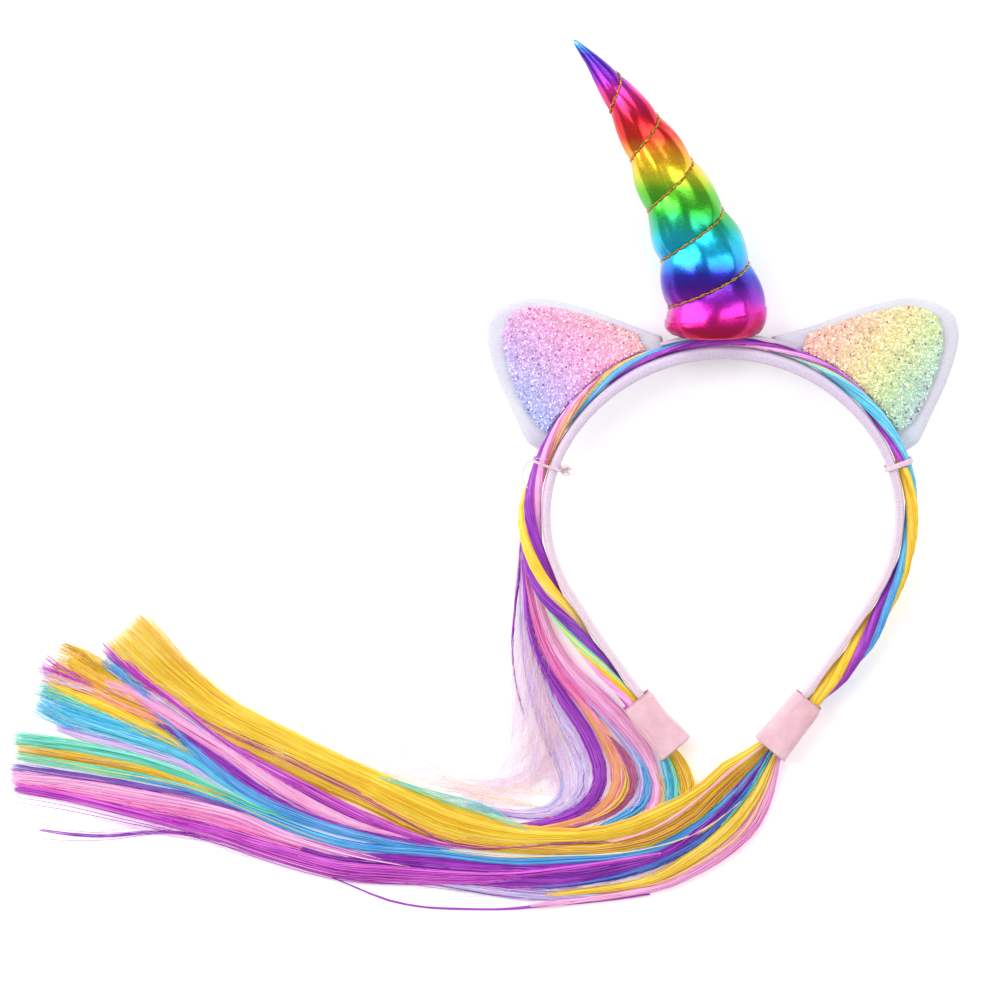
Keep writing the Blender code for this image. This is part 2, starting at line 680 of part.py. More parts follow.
def main_edges():
    """The main fall's two edges, with the height and lift at each row."""
    left, right = head_edges(1, 0.0, HEAD_HALF_WIDTH)
    middle = 0.5 * (left + right)
    upper = []
    lower = []
    high = []
    for past in (-3.2, 1.8):
        left, right = head_edges(1, past, HEAD_HALF_WIDTH)
        upper.append(left)
        lower.append(right)
        high.append((HEAD_HEIGHT, HEAD_LIFT))
    for row in MAIN_FALL:
        upper.append(Vector((middle.x - row.upper_x * FALL_REACH, middle.y - row.upper_y * FALL_DROP)))
        lower.append(Vector((middle.x - row.lower_x * FALL_REACH, middle.y - row.lower_y * FALL_DROP)))
        high.append((row.height * FALL_HEIGHT, row.lift * FALL_HEIGHT))
    return middle, upper, lower, high


MOUTH, UPPER, LOWER, HIGH = main_edges()


def make_main_fall():
    shared = len(UPPER)
    starts = [row.start for row in MAIN_LOCKS] + [1.0]
    last = shared - 1
    paths = []
    for number, lock in enumerate(MAIN_LOCKS):
        middle_share = 0.5 * (starts[number] + starts[number + 1])
        here = UPPER[last].lerp(LOWER[last], middle_share)
        before = UPPER[last - 2].lerp(LOWER[last - 2], middle_share)
        width = (LOWER[last] - UPPER[last]).length * (starts[number + 1] - starts[number])
        tip = Vector((MOUTH.x - lock.tip_x * FALL_REACH, MOUTH.y - lock.tip_y * FALL_DROP))
        away = tip - here
        ahead = (here - before).normalized() * away.length
        rows = []
        for step in range(1, 6):
            t = step / 5
            spot = here + ahead * (t * (1 - t) * (1 - t) * 0.9) + away * (t * t * (3 - 2 * t) * 0.6 + t * 0.4)
            rows.append(spot)
        directions = []
        for step in range(5):
            earlier = here if step == 0 else rows[step - 1]
            later = rows[min(step + 1, 4)]
            run = (later - earlier).normalized()
            directions.append(Vector((-run.y, run.x)))
        paths.append((rows, directions, width))
    sections = []
    for number, lock in enumerate(MAIN_LOCKS):
        rows = []
        for index in range(shared):
            left = UPPER[index].lerp(LOWER[index], starts[number])
            right = UPPER[index].lerp(LOWER[index], starts[number + 1])
            height, lift = HIGH[index]
            rows.append([left, right, height, lift, number > 0, number < len(MAIN_LOCKS) - 1])
        path, directions, width = paths[number]
        for step in range(5):
            t = (step + 1) / 5
            half = 0.5 * width * (1 - t + lock.tip_width * t)
            left = path[step] - directions[step] * half
            right = path[step] + directions[step] * half
            height = HIGH[-1][0] * (1 - 0.55 * t)
            rows.append([left, right, height, 0.0, False, False])
        sections.append(rows)
    for number in range(1, len(MAIN_LOCKS)):
        joined_steps = round(MAIN_LOCKS[number].split * 4)
        for step in range(5):
            row = sections[number][shared + step]
            other = sections[number - 1][shared + step]
            if step < joined_steps:
                shared_edge = 0.5 * (row[0] + other[1])
                row[0] = shared_edge
                other[1] = shared_edge.copy()
                row[4] = True
                other[5] = True
            else:
                apart = row[0] - other[1]
                clear = (row[1] - row[0]).normalized()
                short = 0.8 - apart.dot(clear)
                if short > 0:
                    row[0] = row[0] + clear * (0.5 * short)
                    other[1] = other[1] - clear * (0.5 * short)
    return make_fall("hair_fall_right", sections, (0.88, 0.50, 0.08))


def row_point(points, row):
    low = min(int(row), len(points) - 2)
    return points[low].lerp(points[low + 1], row - low)


def make_side_fall():
    starts = [row.start for row in SIDE_LOCKS] + [1.0]
    edges = []
    for row in SIDE_BESIDE:
        distance = -row.share * HALF_PATH
        if row.share * HALF_PATH > HALF_PATH - SLEEVE_LENGTH - 4.0:
            out = sleeve_middle() + SLEEVE_HALF_WIDTH + 1.4
        else:
            out = twist_outer(distance) + 1.2
        spot = band_spot(distance, out)
        flat = Vector((spot.x, lifted(spot.x, spot.y, 0).y))
        edges.append((flat, row.width, row.heading, row.height))
    for row in SIDE_ALONG:
        spot = row_point(UPPER, row.row + 2)
        run = row_point(UPPER, row.row + 2.5) - row_point(UPPER, row.row + 1.5)
        away = Vector((run.y, -run.x)).normalized()
        if away.y < 0:
            away = -away
        edges.append((spot + away * 1.0, row.width, row.heading, row.height))
    sections = [[] for _ in SIDE_LOCKS]
    for spot, width, heading, height in edges:
        turn = math.radians(heading)
        away = Vector((math.cos(turn), math.sin(turn))) * (width * SIDE_FALL_WIDTH)
        for number in range(len(SIDE_LOCKS)):
            left = spot + away * starts[number]
            right = spot + away * starts[number + 1]
            sections[number].append([left, right, height * FALL_HEIGHT, 0.0, number > 0,
                                     number < len(SIDE_LOCKS) - 1])
    return make_fall("hair_fall_side", sections, (0.75, 0.20, 0.50))


def make_left_fall():
    sections = [[], [], []]
    left_head, right_head = head_edges(-1, 0.0, HEAD_HALF_WIDTH)
    target_left = row_point(UPPER, 6.75) + Vector((-0.6, 1.6))
    target_right = row_point(UPPER, 5.6) + Vector((-1.2, 1.8))
    heads = [head_edges(-1, past, HEAD_HALF_WIDTH) for past in (-3.2, 1.8)]
    rows = [(head[1], head[0], HEAD_HEIGHT, HEAD_LIFT) for head in heads]
    first_left = heads[1][1]
    first_right = heads[1][0]
    for row in LEFT_FALL:
        left = first_left.lerp(target_left, row.share)
        right = first_right.lerp(target_right, row.share)
        rows.append((left, right, row.height * FALL_HEIGHT, row.lift * FALL_HEIGHT))
    for number in range(3):
        for left, right, height, lift in rows:
            sections[number].append([left.lerp(right, number / 3), left.lerp(right, (number + 1) / 3),
                                     height, lift, number > 0, number < 2])
    return make_fall("hair_fall_left", sections, (0.20, 0.45, 0.60))


make_headband()
make_twist()
make_felt()
make_horn()
make_horn_thread()
make_ear(-1, "left")
make_ear(1, "right")
make_sleeve(-1, "left")
make_sleeve(1, "right")
make_tie(-1, "left", 0.45, TIE_THREAD, 2.6)
make_tie(1, "right", 0.9, TIE_THREAD, 1.0)
make_main_fall()
make_side_fall()
make_left_fall()


def stand_on_floor():
    """Moves every piece by one step so that the whole is centred over the origin, lowest at zero."""
    low = [1e9, 1e9, 1e9]
    high = [-1e9, -1e9, -1e9]
    for made in assembly.objects:
        for spot in made.data.vertices:
            for axis in range(3):
                low[axis] = min(low[axis], spot.co[axis])
                high[axis] = max(high[axis], spot.co[axis])
    shift = Vector((-(low[0] + high[0]) / 2, -(low[1] + high[1]) / 2, -low[2]))
    for made in assembly.objects:
        for spot in made.data.vertices:
            spot.co += shift


stand_on_floor()
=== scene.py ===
import math
import random

import bmesh
import bpy
import numpy as np
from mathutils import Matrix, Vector, noise


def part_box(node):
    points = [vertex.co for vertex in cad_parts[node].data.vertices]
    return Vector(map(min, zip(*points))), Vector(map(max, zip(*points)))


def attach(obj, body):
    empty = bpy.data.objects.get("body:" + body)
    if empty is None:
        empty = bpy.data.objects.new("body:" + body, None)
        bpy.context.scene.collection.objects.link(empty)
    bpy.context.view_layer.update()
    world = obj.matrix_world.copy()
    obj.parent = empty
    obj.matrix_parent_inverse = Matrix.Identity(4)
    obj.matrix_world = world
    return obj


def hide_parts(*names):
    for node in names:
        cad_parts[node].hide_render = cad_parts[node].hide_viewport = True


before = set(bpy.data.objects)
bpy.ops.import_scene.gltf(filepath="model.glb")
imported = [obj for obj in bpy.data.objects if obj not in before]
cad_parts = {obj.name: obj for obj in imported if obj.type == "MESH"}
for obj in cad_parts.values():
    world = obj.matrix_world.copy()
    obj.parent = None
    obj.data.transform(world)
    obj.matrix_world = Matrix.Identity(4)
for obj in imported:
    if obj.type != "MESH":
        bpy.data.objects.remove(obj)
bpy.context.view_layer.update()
MM = 0.001
# From the band's own frame to the part's, whose origin is the middle of the whole box.
SHIFT = Vector((85.07, 41.13, 0.07))

# The band and everything on it repeat the sizes that the part's source names.
CROWN_RADIUS = 64.3
CROWN_TURN = 55.0
TEMPLE_RADIUS = 50.4
TEMPLE_TURN = 67.0
LEG_TURN = 8.0
CROWN_ARC = CROWN_RADIUS * math.radians(CROWN_TURN)
TEMPLE_ARC = TEMPLE_RADIUS * math.radians(TEMPLE_TURN)
LEG_LENGTH = 68.0
HALF_PATH = CROWN_ARC + TEMPLE_ARC + LEG_LENGTH
BAND_THICK = 4.6
BAND_DEPTH = 12.0
TWIST_HALF_THICK = 4.5
TWIST_HALF_DEPTH = 4.7
TWIST_PITCH = 76.0
GAP = 0.3
HORN_RADIUS = 17.3
HORN_LENGTH = 119.8
HORN_ASIDE = -2.4
HORN_SEAT = 0.85
HORN_PITCH = 19.5
HORN_FIRST_GROOVE = 12.5
HORN_LEAN = 3.0
HORN_STEPS = 242
FELT_THICK = 1.1
FELT_WIDTH = 10.4
FELT_LENGTH = 44.0
EAR_HALF_WIDTH = 31.0
EAR_HEIGHT = 46.0
EAR_BACK = -5.7
EAR_THICK = 3.0
PANEL_THICK = 1.3
EAR_TURN = math.radians(41.0)
EAR_MIDDLE = EAR_TURN * CROWN_RADIUS
EAR_FOOT = 0.88 * EAR_HALF_WIDTH
TIE_PLACE = EAR_MIDDLE + EAR_FOOT + 1.7
SLEEVE_LENGTH = 22.5
SLEEVE_HALF_WIDTH = 6.6
SLEEVE_HALF_DEPTH = 6.2
SLEEVE_WALL = 1.1

# Shares of the half path from the crown, each with the share of the full size there. In
# TWIST_FORWARD the second column is in millimetres.
BAND_THICKNESS = ((0.0, 1.0), (0.14, 0.98), (0.34, 0.78), (0.6, 0.65), (0.85, 0.61), (1.0, 0.6))
BAND_WIDTH = ((0.0, 1.0), (0.14, 1.0), (0.34, 0.96), (0.6, 0.86), (0.85, 0.7), (1.0, 0.66))
TWIST_LEFT = ((0.0, 0.34), (0.1, 0.36), (0.22, 0.5), (0.36, 0.56), (0.4, 0.6), (0.5, 0.92),
              (0.6, 1.0), (0.74, 0.84), (0.8, 0.71), (0.88, 0.54), (1.0, 0.48))
TWIST_RIGHT = ((0.0, 0.34), (0.1, 0.36), (0.22, 0.5), (0.36, 0.56), (0.4, 0.55), (0.5, 0.54),
               (0.6, 0.62), (0.74, 0.9), (0.8, 0.82), (0.88, 0.54), (1.0, 0.48))
TWIST_WIDTH = ((0.0, 0.92), (0.1, 0.9), (0.22, 0.92), (0.36, 0.94), (0.4, 0.94), (0.5, 1.0),
               (0.6, 1.0), (0.74, 0.96), (0.86, 0.9), (1.0, 0.86))
TWIST_FORWARD = ((0.0, 1.5), (0.36, 1.5), (0.4, 1.2), (0.5, 0.6), (0.6, 0.15), (0.74, 0.0))
# Shares of the horn's length, with its heading there in degrees to the left.
HORN_HEADINGS = ((0.0, 0.5), (0.08, 9.0), (0.17, 15.0), (0.3, 21.5), (0.46, 26.0), (0.61, 29.0),
                 (0.75, 34.5), (0.88, 39.5), (1.0, 42.0))
# Across and out from the band, in shares of the ear's half width and height. The first point beside
# the horn differs between the left ear, -1, and the right one, 1.
EAR_TIPS = {-1: (-0.99, 0.0), 1: (-1.1, -0.07)}
EAR_OUTLINE = ((-0.82, 0.21), (-0.6, 0.49), (-0.34, 0.757), (-0.17, 0.883), (0.06, 0.97),
               (0.28, 1.0), (0.45, 0.95), (0.58, 0.852), (0.7, 0.693), (0.81, 0.491),
               (0.89, 0.298), (0.96, 0.146), (0.99, 0.05))
PANEL_OUTLINE = ((-0.8, 0.13), (-0.7, 0.27), (-0.46, 0.54), (-0.19, 0.78), (-0.03, 0.86),
                 (0.15, 0.9), (0.31, 0.855), (0.42, 0.785), (0.545, 0.65), (0.68, 0.44), (0.75, 0.25),
                 (0.775, 0.13))
# Shares of a sleeve's length from its upper mouth, with the share of its full width.
SLEEVE_WIDTH = ((0.0, 0.82), (0.1, 0.86), (0.5, 0.88), (0.85, 0.94), (1.0, 1.0))

# Each lock of hair has its name, its colour, how many strands show, and its route: rows of x, y,
# half width and height.
RIGHT_FALL = (
    ("upper gold", "yellow", 330, ((103.1, -95.2, 0.9, 7.5), (99.5, -99.2, 1.4, 7.6),
     (93.3, -102.1, 2.2, 7.4), (85.1, -107.5, 2.5, 7), (77.1, -115.4, 2.7, 6.6), (65.3, -121.5, 3.1, 6.2),
     (55.5, -126.2, 2.9, 5.8), (41.1, -130.2, 2.5, 5.4), (26.7, -130.9, 2.7, 5.1), (9.5, -130.5, 4, 5),
     (-12.9, -125.5, 5.8, 4.9), (-30.9, -117.2, 5.4, 4.8), (-45.2, -110, 4.3, 4.8),
     (-58.2, -103.9, 4.3, 4.8), (-74.1, -96.3, 4.7, 4.8), (-89.5, -89.1, 5, 4.8),
     (-101.1, -81.9, 5.8, 4.8), (-115.4, -70.4, 7.2, 4.6), (-124.4, -61.4, 8.3, 4.2),
     (-130.2, -55.6, 8.3, 3.8))),
    ("lower gold", "gold", 170, ((103.8, -96, 0.9, 6.5), (100.2, -100.3, 1.3, 6.6),
     (94.4, -105.3, 2, 6.3), (85.1, -113.2, 2.5, 5.9), (77.1, -122.2, 2.5, 5.7), (65.3, -129.8, 2.5, 5.4),
     (55.5, -133.4, 2.3, 5), (41.1, -135.6, 1.8, 4.7), (26.7, -135.6, 1.8, 4.4), (9.5, -134.5, 2.2, 4.2),
     (-12.9, -131.6, 2.5, 4.2), (-30.9, -124.4, 2.5, 4.2), (-45.2, -116.8, 2.5, 4.2),
     (-56.1, -112.5, 2.9, 4.2), (-74.1, -103.5, 2.9, 4.2), (-86.7, -98.1, 2.2, 4.2),
     (-97.4, -92.7, 1.8, 4.1), (-110.1, -84.8, 1.4, 4), (-124.4, -73.3, 1.1, 3.8))),
    ("sleeve orange", "orange", 26, ((101.6, -97, 0.4, 8.6), (95.1, -101.7, 0.6, 8.6),
     (87.9, -107.1, 0.8, 8.1), (77.1, -116.8, 0.8, 7.4), (66.3, -124.8, 0.6, 6.9),
     (55.5, -130.2, 0.4, 6.3), (44.7, -133, 0.3, 5.8))),
    ("gold brown", "wine", 34, ((55.5, -134.5, 0.3, 5.3), (41.1, -133, 0.5, 5.4),
     (26.7, -133.4, 0.5, 5.2), (5.1, -135.2, 0.6, 5), (-12.9, -133.4, 0.6, 5), (-30.9, -124, 0.6, 5.1),
     (-45.2, -116.1, 1.1, 5.2), (-58.2, -110, 1.4, 5.2), (-74.1, -102.1, 1.4, 5.1),
     (-89.5, -95.6, 1.3, 5), (-99.6, -90.6, 0.9, 4.8), (-110.1, -83.7, 0.5, 4.6))),
    ("steel blue", "blue", 110, ((102.3, -97.8, 0.7, 5.5), (100.5, -101.7, 0.9, 5.6),
     (92.3, -112.5, 1.3, 5.3), (82.5, -122.2, 1.6, 5.2), (71.4, -129.8, 1.8, 5.1), (63.1, -134.8, 1.6, 5),
     (46.5, -138.1, 1.4, 4.9), (30.3, -138.8, 1.6, 4.8), (13.8, -139.9, 1.6, 4.7),
     (-2.8, -138.8, 1.4, 4.7), (-19.3, -136.6, 1.3, 4.7), (-35.9, -135.6, 1.3, 4.6),
     (-52.4, -133.6, 1.4, 4.5), (-66.1, -129.4, 1.4, 4.4), (-81.6, -123.3, 1.4, 4.2),
     (-97.4, -116.8, 1.3, 4), (-112.9, -112.2, 1.1, 3.7), (-128.1, -108.9, 1.1, 3.4))),
    ("pale teal", "aqua", 44, ((-56.1, -133, 0.4, 4.6), (-70.4, -128, 0.7, 4.5),
     (-84.8, -121.9, 1.1, 4.3), (-97.4, -116.8, 1.4, 4.1), (-112.9, -111.8, 1.4, 3.8),
     (-136.3, -107.5, 1.4, 3.4), (-153.2, -104.6, 1.4, 3), (-169.8, -101.7, 1.6, 2.6))),
    ("deep purple", "purple", 230, ((102.3, -99.2, 0.7, 5), (99.5, -104.2, 1.1, 5.1),
     (90.8, -114.3, 1.6, 5), (82.5, -123.3, 2, 4.9), (71.4, -132.3, 2, 4.8), (63.1, -137.4, 1.8, 4.7),
     (46.5, -141.3, 2.9, 4.5), (30.3, -144.2, 4, 4.3), (13.8, -144.2, 4.7, 4.2), (-2.8, -143.5, 4.7, 4.1),
     (-19.3, -141.7, 4, 4.1), (-35.9, -139.9, 2.5, 4), (-52.4, -138.8, 1.4, 3.9),
     (-66.8, -135.2, 1.1, 3.8))),
    ("magenta", "magenta", 210, ((63.1, -137, 0.7, 5.1), (46.5, -139.9, 1.1, 5), (30.3, -142.4, 1.4, 4.8),
     (13.8, -144.6, 2.2, 4.6), (-2.8, -145.3, 2.9, 4.5), (-19.3, -144.6, 3.6, 4.4),
     (-35.9, -143.5, 4, 4.3), (-52.4, -142.4, 3.6, 4.1), (-66.1, -138.8, 3.6, 3.9),
     (-81.6, -134.5, 3.2, 3.7), (-97.4, -129.4, 2.5, 3.5), (-112.9, -125.8, 1.8, 3.2),
     (-136.3, -120.1, 1.6, 2.9), (-152.2, -116.1, 1.6, 2.6), (-169.8, -112.9, 1.8, 2.3))),
    ("navy", "navy", 60, ((103.4, -99.9, 0.5, 5), (100.9, -104.6, 0.9, 5.1), (92.3, -116.1, 1.4, 4.9),
     (84.3, -125.1, 1.6, 4.8), (77.1, -132.3, 1.8, 4.7), (63.1, -139.9, 1.6, 4.6),
     (54.8, -143.1, 1.3, 4.5), (46.5, -145.6, 1.1, 4.4), (38.3, -147.1, 0.7, 4.2),
     (26.7, -148.9, 0.5, 3.9), (15.9, -149.2, 0.4, 3.5))),
    ("outer yellow", "yellow", 110, ((104.1, -101.4, 0.9, 6.8), (102, -105.7, 1.4, 6.8),
     (97.7, -115, 2.2, 6.5), (89.8, -126.2, 2.7, 6.1), (81.1, -134.1, 2.7, 5.8), (71.4, -140.6, 2.5, 5.4),
     (63.1, -145.6, 1.8, 5.1), (54.8, -148.2, 1.4, 4.8), (46.5, -149.6, 1.3, 4.5), (38.3, -150.5, 1, 4.2),
     (30.3, -151.4, 0.7, 3.9), (21.3, -152.1, 0.4, 3.5))),
    ("mouth teal", "aqua", 22, ((102.7, -99.9, 0.6, 7), (100.2, -105, 0.8, 6.9), (95.9, -112.9, 0.7, 6.6),
     (90.8, -120.1, 0.4, 6.2), (84.3, -127.3, 0.2, 5.8))),
    ("outer pink", "pink", 120, ((105.2, -102.4, 0.9, 6), (104.1, -106.8, 1.4, 6),
     (101.6, -115, 2.3, 5.6), (95.9, -126.2, 2.9, 5.2), (87.2, -134.8, 2.9, 4.9),
     (77.1, -141.7, 2.3, 4.6), (63.1, -148.9, 1.6, 4.2), (54.8, -150.3, 1.2, 4), (46.5, -152.1, 1.1, 3.7),
     (26.7, -154.6, 0.9, 3.1), (15.9, -156.1, 0.4, 2.6))),
    ("outer orange", "orange", 22, ((104.1, -104.2, 0.4, 6.9), (99.8, -116.5, 0.5, 6.6),
     (91.9, -130.2, 0.6, 6.2), (78.2, -139.9, 0.6, 5.8), (63.1, -147.4, 0.4, 5.2),
     (51.9, -149.6, 0.3, 4.8))),
    ("cream", "cream", 22, ((93.3, -117.2, 0.3, 5.8), (81.8, -126.6, 0.6, 5.8), (73.5, -130.9, 0.6, 5.7),
     (62.7, -134.5, 0.5, 5.6), (48.3, -137, 0.4, 5.4), (26.7, -138.1, 0.5, 5.2), (5.1, -138.4, 0.5, 5.1),
     (-16.5, -135.9, 0.4, 5))),
    ("upper magenta", "magenta", 80, ((-5.7, -135.2, 0.5, 4.8), (-15.4, -133.8, 1.1, 4.8),
     (-27.6, -130.5, 1.8, 4.8), (-40.2, -125.8, 2.2, 4.8), (-52.4, -120.1, 2.2, 4.8),
     (-66.1, -112.9, 2.3, 4.8), (-81.6, -105, 2.2, 4.8), (-89.5, -99.9, 2, 4.8), (-97.4, -94.5, 1.8, 4.7),
     (-105.4, -87.7, 1.8, 4.6), (-112.9, -81.6, 1.8, 4.5), (-120.8, -76.2, 1.8, 4.3),
     (-126.6, -70.8, 2, 4), (-130.2, -67.2, 1.8, 3.7))),
    ("tip magenta", "magenta", 26, ((-88.4, -100.6, 0.4, 5.3), (-97.4, -95.2, 0.5, 5.3),
     (-105.4, -88, 0.6, 5.3), (-112.9, -82.6, 0.7, 5.2), (-120.8, -77.2, 0.7, 5), (-130.9, -69, 1.3, 4.6),
     (-138.8, -61.4, 2, 4))),
    ("tip lilac", "lilac", 24, ((-90.2, -100.6, 0.4, 5), (-101.1, -92.7, 0.9, 5),
     (-112.9, -84.1, 1.4, 4.8), (-120.8, -79.8, 1.4, 4.6), (-125.9, -76.9, 1.1, 4.4))),
    ("tip blue", "blue", 44, ((-115.4, -86.2, 0.5, 4.5), (-120.8, -82.3, 1.4, 4.5), (-124.1, -79, 2, 4.4),
     (-132.4, -71.1, 2.5, 4), (-138.1, -67.2, 2.5, 3.6))),
    ("main pink", "pink", 130, ((-27.2, -131.6, 0.5, 5.2), (-45.2, -127.3, 1.6, 5.4),
     (-58.2, -122.6, 2.5, 5.5), (-66.1, -118.6, 2.9, 5.6), (-74.1, -114, 3.1, 5.6),
     (-81.6, -108.6, 3.2, 5.6), (-89.5, -102.8, 3.1, 5.6), (-97.4, -97.8, 2.7, 5.5),
     (-105.4, -93.1, 2.3, 5.3), (-112.9, -88.4, 2.3, 5.1), (-120.8, -83.4, 2.5, 4.8),
     (-128.8, -78.7, 2.7, 4.4), (-137.8, -75.8, 3.2, 3.9))),
    ("under purple", "purple", 70, ((-20, -135.2, 0.7, 4.7), (-30.9, -132, 1.1, 4.6),
     (-52.4, -126.2, 1.6, 4.6), (-66.1, -121.2, 2.2, 4.6), (-81.6, -113.2, 2.5, 4.6),
     (-89.5, -107.5, 2.5, 4.6), (-101.4, -99.6, 2, 4.5), (-111.5, -93.1, 1.4, 4.3),
     (-119.1, -89.8, 0.7, 4.1))),
    ("blue", "blue", 120, ((-12.9, -135.6, 0.7, 4.6), (-27.6, -134, 1.4, 4.6), (-40.2, -131.6, 1.8, 4.7),
     (-52.4, -128.7, 2, 4.7), (-66.1, -124, 2.5, 4.7), (-81.6, -117.6, 2.9, 4.6),
     (-89.5, -112.5, 2.7, 4.6), (-97.4, -106, 2.2, 4.5), (-102.8, -101, 1.6, 4.4),
     (-108.2, -96, 1.3, 4.4), (-114.7, -89.5, 0.9, 4.3), (-120.1, -85.5, 0.5, 4.2))),
    ("cyan", "cyan", 170, ((-70.4, -123.3, 0.7, 4.3), (-81.6, -119, 1.8, 4.3), (-89.5, -114.3, 2.5, 4.2),
     (-97.4, -108.6, 2.9, 4.1), (-105.4, -102.4, 3.2, 4), (-116.9, -97.4, 4, 3.8),
     (-128.8, -93.4, 4.7, 3.6), (-144.2, -88.4, 5.4, 3.2), (-152.2, -85.2, 5.4, 2.9),
     (-161.2, -80.8, 5, 2.5))),
    ("wedge yellow", "yellow", 70, ((-102.8, -102.4, 0.4, 4.3), (-107.5, -99.9, 1.1, 4.2),
     (-115.4, -95.6, 2.9, 4.1), (-127, -89.8, 3.2, 3.9), (-136.3, -84.8, 3.2, 3.7),
     (-149.7, -79.4, 3.2, 3.3), (-158.3, -76.2, 2.9, 2.8))),
    ("wedge salmon", "orange", 34, ((-110.8, -92.7, 0.7, 4.4), (-120.8, -88, 1.2, 4.3),
     (-131.7, -84.1, 1.4, 4), (-139.6, -79.8, 1.8, 3.7), (-152.2, -75.1, 2.2, 3.3),
     (-159.7, -72.2, 2.5, 2.8))),
    ("cluster gold", "gold", 120, ((-115.4, -87.3, 1.1, 3.9), (-124.4, -82.6, 2.9, 3.9),
     (-133.4, -77.6, 4.7, 3.7), (-142.4, -72.6, 6.1, 3.4), (-149.7, -67.9, 6.1, 3),
     (-155.1, -65.4, 5.4, 2.6))),
    ("cluster magenta", "magenta", 36, ((-140.7, -77.2, 0.7, 4.1), (-147.8, -73.6, 1.4, 3.8),
     (-154, -70.8, 2.2, 3.4), (-159.7, -67.5, 2.7, 2.8))),
    ("cluster lilac", "lilac", 34, ((-140.7, -79, 0.7, 3.9), (-148.9, -76.2, 1.4, 3.6),
     (-156.1, -74, 2.2, 3.2), (-162.6, -72.2, 2.5, 2.6))),
    ("cluster aqua", "aqua", 30, ((-135.2, -87.7, 0.7, 3.8), (-144.2, -84.1, 1.4, 3.6),
     (-153.2, -80.5, 2.2, 3.2), (-162.2, -77.2, 2.5, 2.7))),
    ("lilac blue", "lilac", 60, ((-86.7, -117.9, 0.7, 3.9), (-97.4, -111.8, 1.8, 3.9),
     (-105.4, -106.4, 2.5, 3.7), (-120.8, -101, 2.5, 3.4), (-136.3, -97, 2, 3), (-148.2, -93.8, 1.4, 2.7),
     (-155.1, -91.6, 1.1, 2.4))),
    ("lower teal", "aqua", 80, ((-66.8, -125.1, 0.7, 4), (-81.6, -120.4, 1.4, 4),
     (-89.5, -116.5, 1.8, 3.9), (-105.4, -109.6, 2, 3.8), (-120.8, -103.9, 2, 3.6),
     (-136.3, -100.3, 2, 3.3), (-152.2, -97.4, 2, 3), (-170.5, -95.6, 2.2, 2.5))),
    ("lower gold strip", "gold", 50, ((-92.1, -116.5, 0.5, 3.8), (-105.4, -112.5, 1.1, 3.8),
     (-120.8, -107.5, 1.6, 3.7), (-136.3, -104.2, 1.8, 3.4), (-152.2, -101.7, 1.8, 3),
     (-169.8, -98.8, 1.8, 2.5))),
    ("lower violet", "violet", 50, ((-70.4, -128, 0.7, 4), (-84.8, -122.6, 1.1, 3.9),
     (-105.4, -116.8, 1.2, 3.8), (-120.8, -114, 1.2, 3.6), (-136.3, -111.1, 1.3, 3.3),
     (-152.2, -108.9, 1.4, 3), (-171.2, -106, 1.4, 2.5))),
    ("lower pink", "pink", 110, ((-27.2, -141.7, 0.5, 4.4), (-45.2, -138.4, 1.6, 4.6),
     (-58.2, -135.2, 2, 4.6), (-74.1, -130.2, 2.3, 4.5), (-89.5, -123.3, 2.5, 4.3),
     (-105.4, -119.4, 2.5, 4), (-120.8, -116.5, 2.7, 3.7), (-136.3, -113.6, 2.7, 3.4),
     (-152.2, -111.1, 2.5, 3), (-171.2, -109.3, 2.3, 2.6))),
    ("lower rose", "hotpink", 64, ((-40, -141, 0.6, 3.6), (-52.4, -139.6, 1.3, 3.4),
     (-66.1, -135.4, 1.9, 3.2), (-81.6, -130.8, 2.3, 3), (-97.4, -125.6, 2.5, 2.8),
     (-112.9, -121.9, 2.4, 2.6), (-136.3, -117.6, 2.1, 2.4), (-152.2, -114.4, 1.7, 2.2),
     (-168.5, -111.6, 1.6, 2))),
    ("stray violet", "purple", 14, ((-84.8, -134.5, 0.5, 2.6), (-93.5, -133, 0.5, 2.2),
     (-105.4, -130.2, 0.5, 1.6), (-120.8, -129.4, 0.5, 1.2), (-136.3, -130.9, 0.5, 1),
     (-152.2, -129.8, 0.5, 0.8), (-161.2, -128.4, 0.4, 0.6))),
    ("long stray", "purple", 12, ((59.1, -151.8, 0.4, 2.2), (38.3, -154.6, 0.4, 1.4),
     (22.1, -155.9, 0.5, 1), (5.5, -157.2, 0.4, 0.8), (-11, -157.2, 0.4, 0.7), (-23.7, -156.3, 0.3, 0.6),
     (-35.9, -153.9, 0.3, 0.6), (-44.2, -150.5, 0.3, 0.8), (-52.4, -147.1, 0.3, 1.5),
     (-58.9, -144.2, 0.3, 2))),
    ("lower mauve", "lilac", 34, ((48.3, -151.4, 0.5, 3), (26.7, -152.5, 1.4, 2.8),
     (12.3, -151.8, 1.8, 2.6), (-2, -150, 1.6, 2.6), (-20, -147.4, 1.1, 2.8), (-38, -146, 1.1, 2.8))),
    ("top teal", "aqua", 16, ((19.5, -130.2, 0.4, 5.7), (9.5, -126.2, 1.1, 5.7), (3.3, -123, 1.8, 5.6),
     (-4.2, -120.1, 1.8, 5.4), (-16.5, -116.8, 1.4, 5.2), (-29.4, -112.5, 0.9, 5),
     (-39.9, -108.9, 0.4, 4.8))),
)
